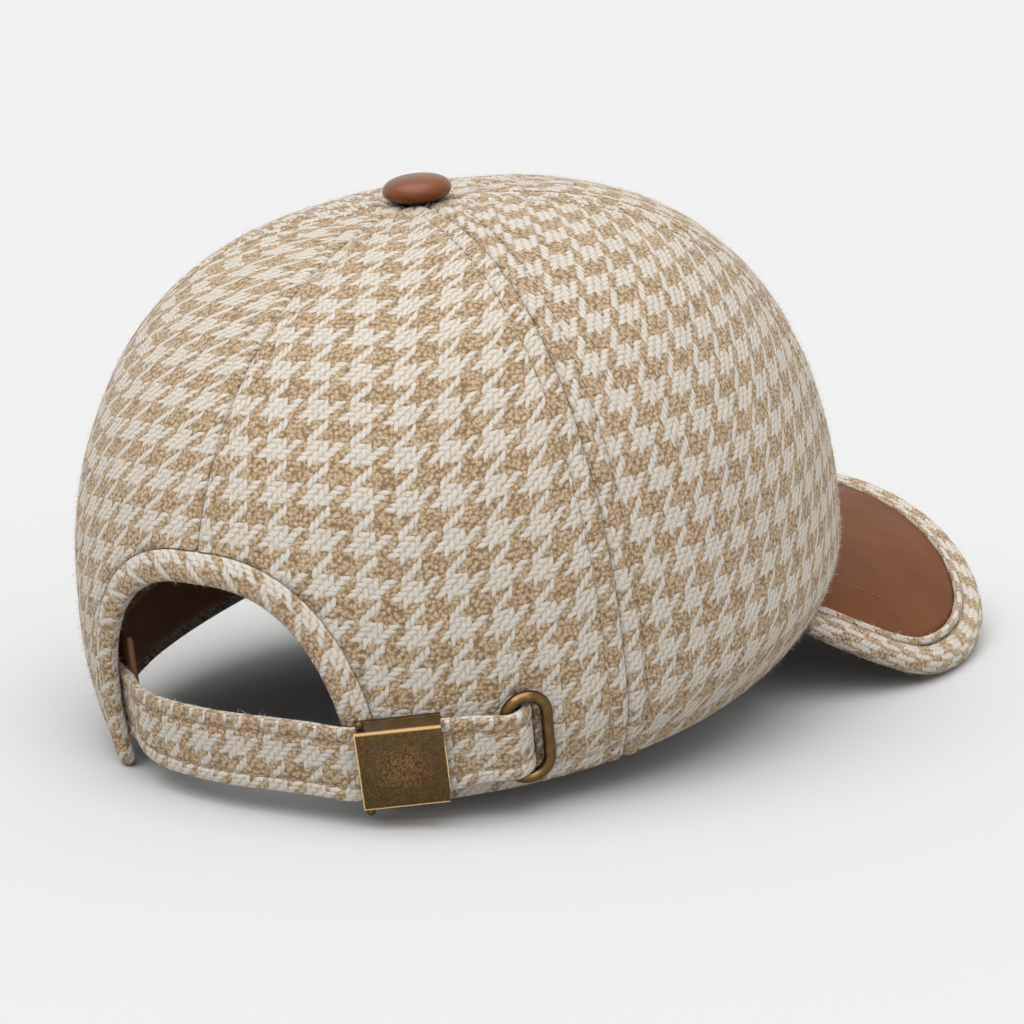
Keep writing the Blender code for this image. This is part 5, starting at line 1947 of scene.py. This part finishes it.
@dataclass
class AdjustingStrap:
    """The strap with two stitched rows, from the left foot through the clasp and ring into its slot.

    The clasp grips it, which presses it by a share of its thickness at the clasp's ends.
    """

    width: float = 17.4 * MM
    tail_width: float = 15.8 * MM
    thickness: float = 2.0 * MM
    stitch_in: float = 3.4 * MM
    stitch_sunk: float = 0.26 * MM
    stitch_sizes: StitchSizes = StitchSizes(2.9 * MM, 2.3 * MM, seed=8)
    clasp_length: float = 18.5 * MM
    press: float = 0.3
    metal: float = 0.45 * MM
    bend_slack: float = 1.0 * MM

    @staticmethod
    def through(points: Sequence[np.ndarray], spacing: float) -> np.ndarray:
        """A smooth curve through points.

        Args:
            points: The points.
            spacing: The wanted distance between samples.

        Returns:
            The samples.
        """
        points = np.asarray(points, float)
        padded = np.concatenate([2.0 * points[:1] - points[1:2], points, 2.0 * points[-1:] - points[-2:-1]])
        samples = []
        for k in range(len(points) - 1):
            before, start, end, after = padded[k : k + 4]
            for share in np.linspace(0.0, 1.0, 24, endpoint=False):
                first = (end - before) * share
                second = (2.0 * before - 5.0 * start + 4.0 * end - after) * share**2
                third = (3.0 * start - before - 3.0 * end + after) * share**3
                samples.append(0.5 * (2.0 * start + first + second + third))
        samples.append(points[-1])
        line = np.array(samples)
        return resample(line, int(round(run_of(line)[-1] / spacing)) + 1)

    def route(self) -> np.ndarray:
        """Centre line from the sewn end inside the left foot to the tail behind the ring."""
        half = self.thickness / 2.0
        inside = -(FORM.cloth + FORM.bound_under + 2.0 * FORM.gap + half)
        across_arch = -half + FORM.gap
        over_binding = FORM.bound_rise + FORM.gap + half
        foot = math.asin(FORM.arch_half_width / FORM.half_width)
        rows = {
            -1.45: inside,
            -1.15: inside,
            -0.92: 0.92 * inside,
            -0.65: 0.40 * inside,
            -0.35: across_arch,
            0.10: across_arch,
            0.50: 0.4 * across_arch,
            0.78: 0.65 * over_binding,
        }
        climb = FORM.climb_of(np.array(CLASP_SEAT.middle))
        points = [FORM.at(np.array(share * foot), climb, proud) for share, proud in rows.items()]
        level = FORM.bound_rise + 2.0 * FORM.gap + self.metal + half
        for share in (0.62, 0.25, -0.25, -0.62):
            points.append(CLASP_SEAT.place((share * self.clasp_length, level, 0.0)))
        between = (CLASP_SEAT.turn + RING_SEAT.turn) / 2.0 + math.radians(1.5)
        points.append(FORM.at(np.array(between), climb, level))
        bar = RING.bar
        over_bar = 2.0 * FORM.gap + RING.wire + half
        points.append(RING_SEAT.place((bar, over_bar, 0.0)))
        line = list(self.through(points, 1.2 * MM))
        bend = bar - 0.1 * half + self.bend_slack
        for angle in np.radians(np.arange(10.0, 90.0, 10.0)):
            x, y = bar - bend * math.sin(angle), over_bar - bend * (1.0 - math.cos(angle))
            line.append(RING_SEAT.place((x, y, 0.0)))
        start = (bar - bend, over_bar - bend)
        turn_in = FORM.cloth + 2.0 * FORM.gap + RING_SEAT.bulge() + half + start[1]
        for angle in np.radians(np.arange(5.0, 91.0, 10.0)):
            x, y = start[0] - turn_in * (1.0 - math.cos(angle)), start[1] - turn_in * math.sin(angle)
            line.append(RING_SEAT.place((x, y, 0.0)))
        line.append(RING_SEAT.place((start[0] - turn_in - bar / 2.0, start[1] - turn_in - FORM.gap, 0.0)))
        return np.array(line)

    def slot_mesh(self) -> Mesh:
        """The solid that cuts the tail's slot out of the right back panel."""
        reach = self.tail_width / 2.0 + FORM.gap
        xs = (-(RING.bar - RING.wire / 2.0) + 3.0 * FORM.gap, self.thickness / 2.0 + 2.0 * FORM.gap)
        ys, zs = (-4.0 * FORM.cloth, 2.0 * FORM.cloth), (-reach, reach)
        corners = RING_SEAT.place([(x, y, z) for x in xs for y in ys for z in zs])
        faces = [(0, 1, 3, 2), (4, 6, 7, 5), (0, 4, 5, 1), (2, 3, 7, 6), (0, 2, 6, 4), (1, 5, 7, 3)]
        return mesh_of("tail_slot", corners, faces, {})

    def section(self, width: float) -> np.ndarray:
        """The strap's section: two layers with a groove at each edge and a dip under each stitched row."""
        edge, half, corner = width / 2.0, self.thickness / 2.0, 0.45 * MM
        flat = np.linspace(edge - corner, -(edge - corner), 40)
        dip = 0.50 * MM * bell(np.abs(flat), edge - self.stitch_in, 0.38 * MM)
        puff = 0.12 * MM * bell(np.abs(flat), edge - self.stitch_in / 2.0, 1.2 * MM)
        top = np.stack([flat, half - dip + puff], axis=1)
        rounded = [(-(edge - 0.12 * MM), half - 0.2 * MM), (-edge, half * 0.45)]
        side = [*rounded, (-(edge - 0.22 * MM), 0.0), *[(x, -y) for x, y in reversed(rounded)]]
        under = np.stack([-flat, -(half - dip * 0.6)], axis=1)
        return np.concatenate([top, np.array(side), under, -np.array(side)])

    def frames(self) -> tuple[np.ndarray, np.ndarray, np.ndarray, np.ndarray]:
        """Centre line, upward axes, outward axes and widths along the strap."""
        line = self.route()
        tangents = unit(np.gradient(line, axis=0))
        turns = FORM.turn_of(line)
        chords = np.array([Seat(float(turn)).chord() for turn in turns])
        up = unit(chords[:, 2] - chords[:, 0])
        share = (turns - CLASP_SEAT.turn) / (RING_SEAT.turn - CLASP_SEAT.turn)
        near_ring = smooth_step(share * 2.0 - 0.6)[:, None]
        up = unit(up * (1.0 - near_ring) + RING_SEAT.matrix()[:3, 2] * near_ring)
        outward = unit(np.cross(tangents, up))
        return line, up, outward, self.width + (self.tail_width - self.width) * near_ring[:, 0]

    def build(self, sewer: StitchSewer) -> Piece:
        """Builds the strap and its stitches.

        Args:
            sewer: The stitch sewer.

        Returns:
            The strap.
        """
        line, up, outward, widths = self.frames()
        along = (line - CLASP_SEAT.place((0.0, 0.0, 0.0))) @ CLASP_SEAT.matrix()[:3, 0]
        pressed = 1.0 - self.press * bell(np.abs(along), self.clasp_length / 2.0, 1.8 * MM)
        sections = [self.section(width) * (1.0, share) for width, share in zip(widths, pressed)]
        mesh = sweep_mesh("strap", line, up, outward, sections)
        item = dress("wool_strap", mesh, WOOL, "strap")
        rows = []
        for side in Side:
            away = (widths / 2.0 - self.stitch_in)[:, None] * side.value
            row = line + up * away + outward * (self.thickness / 2.0 - self.stitch_sunk)
            # The rows end before the hidden foot and before the slot
            rows.append(row[8:-12])
        hand_over(sewer.sew("strap_stitches", rows, STRAP_THREAD, self.stitch_sizes))
        return item


@dataclass
class BrassFittings:
    """The clasp's frame, lid and pin, and the oval ring."""

    edge: float = 0.16 * MM
    front_depth: float = 0.2 * MM

    @staticmethod
    def plain_copy(node: str, name: str) -> Mesh:
        """Copies a node's mesh without doubled points, split flats and maps.

        Args:
            node: The node.
            name: The copy's name.

        Returns:
            The mesh.
        """
        work = bmesh.new()
        work.from_mesh(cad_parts[node].data)
        bmesh.ops.remove_doubles(work, verts=work.verts, dist=0.002 * MM)
        bmesh.ops.dissolve_limit(work, angle_limit=math.radians(1.0), verts=work.verts, edges=work.edges)
        mesh = bpy.data.meshes.new(name)
        work.to_mesh(mesh)
        work.free()
        for attribute in [layer.name for layer in mesh.uv_layers]:
            mesh.uv_layers.remove(mesh.uv_layers[attribute])
        return mesh

    def softened(self, node: str, name: str, body: str) -> Piece:
        """A copy of a clasp node with rounded edges, worn lighter and given a painted highlight.

        Args:
            node: The clasp node.
            name: The new piece's name.
            body: The body that it rides on.

        Returns:
            The piece.
        """
        mesh = self.plain_copy(node, name)
        source = linked(f"{name}_source", mesh)
        paint(mesh, [BRASS, BRASS_EDGE])
        mesh.polygons.foreach_set("material_index", [0] * len(mesh.polygons))
        # The bevel faces take the second finish: worn brass with a painted highlight.
        bevel = source.modifiers.new("edge", "BEVEL")
        bevel.width, bevel.segments, bevel.limit_method = self.edge, 2, "ANGLE"
        bevel.angle_limit, bevel.material = math.radians(38.0), 1
        made = kept_result(source, name)
        to_seat = CLASP_SEAT.to_model().inverted()
        local = np.array([to_seat @ vertex.co for vertex in made.vertices])
        front = local[local[:, 1] > local[:, 1].max() - self.front_depth][:, [0, 2]]
        if node == "clasp_lid":
            # The lid's brass knows its front face's borders and upper fold, where the wear and the painted
            # highlights go.
            low, high = tuple(map(float, front.min(axis=0))), tuple(map(float, front.max(axis=0)))
            made.materials[0] = CUPBOARD.get(AntiqueBrass("worn_lid_brass", low, high))
        places = np.array([loop.vertex_index for loop in made.loops])
        flat = local[places][:, [0, 2]].reshape(-1).astype(np.float32)
        made.uv_layers.new(name="plate").data.foreach_set("uv", flat)
        made.shade_smooth()
        made.set_sharp_from_angle(angle=math.radians(35.0))
        return hand_over(linked(name, made), [node], body)

    def ring(self) -> Piece:
        """Builds the ring.

        Returns:
            The ring.
        """
        bend = RING.bar
        straight = (RING.height - RING.wire) / 2.0 - bend
        angles = np.linspace(0.0, math.pi, 29)
        outline = [(bend * math.cos(a), straight + bend * math.sin(a), a) for a in angles]
        outline += [(x, z, math.pi) for x, z in [(-bend, straight * s) for s in (0.6, 0.2, -0.2, -0.6)]]
        outline += [(-bend * math.cos(a), -straight - bend * math.sin(a), a + math.pi) for a in angles]
        outline += [(bend, straight * s, 2.0 * math.pi) for s in (-0.6, -0.2, 0.2, 0.6)]
        matrix = RING_SEAT.matrix()
        level = FORM.gap + RING.wire / 2.0
        centres = RING_SEAT.place([(x, level, z) for x, z, _ in outline])
        across = np.array([matrix[:3, 0] * math.cos(a) + matrix[:3, 2] * math.sin(a) for _, _, a in outline])
        outward = np.broadcast_to(matrix[:3, 1], across.shape)
        loops = [oval(RING.wire / 2.0, RING.wire / 2.0, 22)] * len(outline)
        mesh = sweep_mesh("ring", centres, across, outward, loops, layer="plate", closed=True)
        return dress("brass_ring", mesh, RING_BRASS, "strap_ring")

    def build(self) -> None:
        """Builds the clasp and the ring."""
        self.softened("clasp_frame", "brass_frame", CAP_BODY)
        self.softened("clasp_lid", "brass_lid", LID_BODY)
        self.softened("clasp_pin", "brass_pin", CAP_BODY)
        self.ring()


# Studio


@dataclass
class Studio:
    """The floor, the light and the camera at the photograph's place."""

    camera_place: tuple[float, float, float] = (-322.4 * MM, 518.9 * MM, 158.8 * MM)
    camera_turn: tuple[float, float, float] = (79.33, -0.14, -147.09)
    lens: float = 80.885
    paper: float = 12.0
    pale: float = 0.885
    sun_power: float = 3.46
    sun_width: float = math.radians(72.0)
    fill_power: float = 1.0
    fill_from: tuple[float, float, float] = (-0.62, 0.72, 0.28)
    sun_from: tuple[float, float, float] = (-0.07, 0.35, 0.93)

    def lay_floor(self) -> None:
        """Lays the round floor."""
        sides = 96
        angles = [2.0 * math.pi * k / sides for k in range(sides)]
        ring = [(self.paper * math.cos(angle), self.paper * math.sin(angle), 0.0) for angle in angles]
        mesh = bpy.data.meshes.new("floor")
        mesh.from_pydata(ring, [], [tuple(range(sides))])
        paint(mesh, [Paper()])
        floor = linked("pale_floor", mesh)

    def light(self) -> None:
        """Makes the pale surroundings and the two soft lights."""
        world = bpy.data.worlds.new("studio")
        world.use_nodes = True
        background = world.node_tree.nodes["Background"]
        background.inputs["Color"].default_value = (self.pale, self.pale, self.pale, 1.0)
        background.inputs["Strength"].default_value = 1.0
        bpy.context.scene.world = world
        for name, power, source in (
            ("soft_key", self.sun_power, self.sun_from),
            ("soft_fill", self.fill_power, self.fill_from),
        ):
            light = bpy.data.lights.new(name, "SUN")
            light.energy, light.angle = power, self.sun_width
            lamp = linked(name, light)
            lamp.rotation_euler = Vector(source).to_track_quat("Z", "Y").to_euler()

    def aim_camera(self) -> None:
        """Places the camera where the photograph was taken."""
        camera = bpy.data.cameras.new("photo_camera")
        camera.lens, camera.sensor_width, camera.clip_start = self.lens, 36.0, 0.01
        holder = linked("photo_camera", camera)
        holder.location = self.camera_place
        holder.rotation_euler = [math.radians(angle) for angle in self.camera_turn]
        bpy.context.scene.camera = holder

    def build(self) -> None:
        """Lays the floor, lights the scene and places the camera."""
        bpy.context.scene.view_settings.view_transform = "Standard"
        self.lay_floor()
        self.light()
        self.aim_camera()


def main() -> None:
    """Builds the studio and every piece of the cap, in order."""
    logging.basicConfig(level=logging.INFO, format="%(name)s: %(message)s")
    Studio().build()
    sewer = StitchSewer()
    arch, strap, crown = RearArch(), AdjustingStrap(), WoolCrown()
    crown.build(arch, strap, sewer)
    binding = arch.build()
    inside = Inside()
    inside.lining(arch)
    inside.sweatband()
    TopButton().build()
    peak_wool = LeatherPeak().build(sewer)
    band = strap.build(sewer)
    BrassFittings().build()
    grower = FuzzGrower()
    hand_over(grower.grow("crown_fuzz", crown.panels, 11))
    hand_over(grower.grow("trim_fuzz", [binding, band, *peak_wool[1:]], 12))


if __name__ == "__main__":
    main()
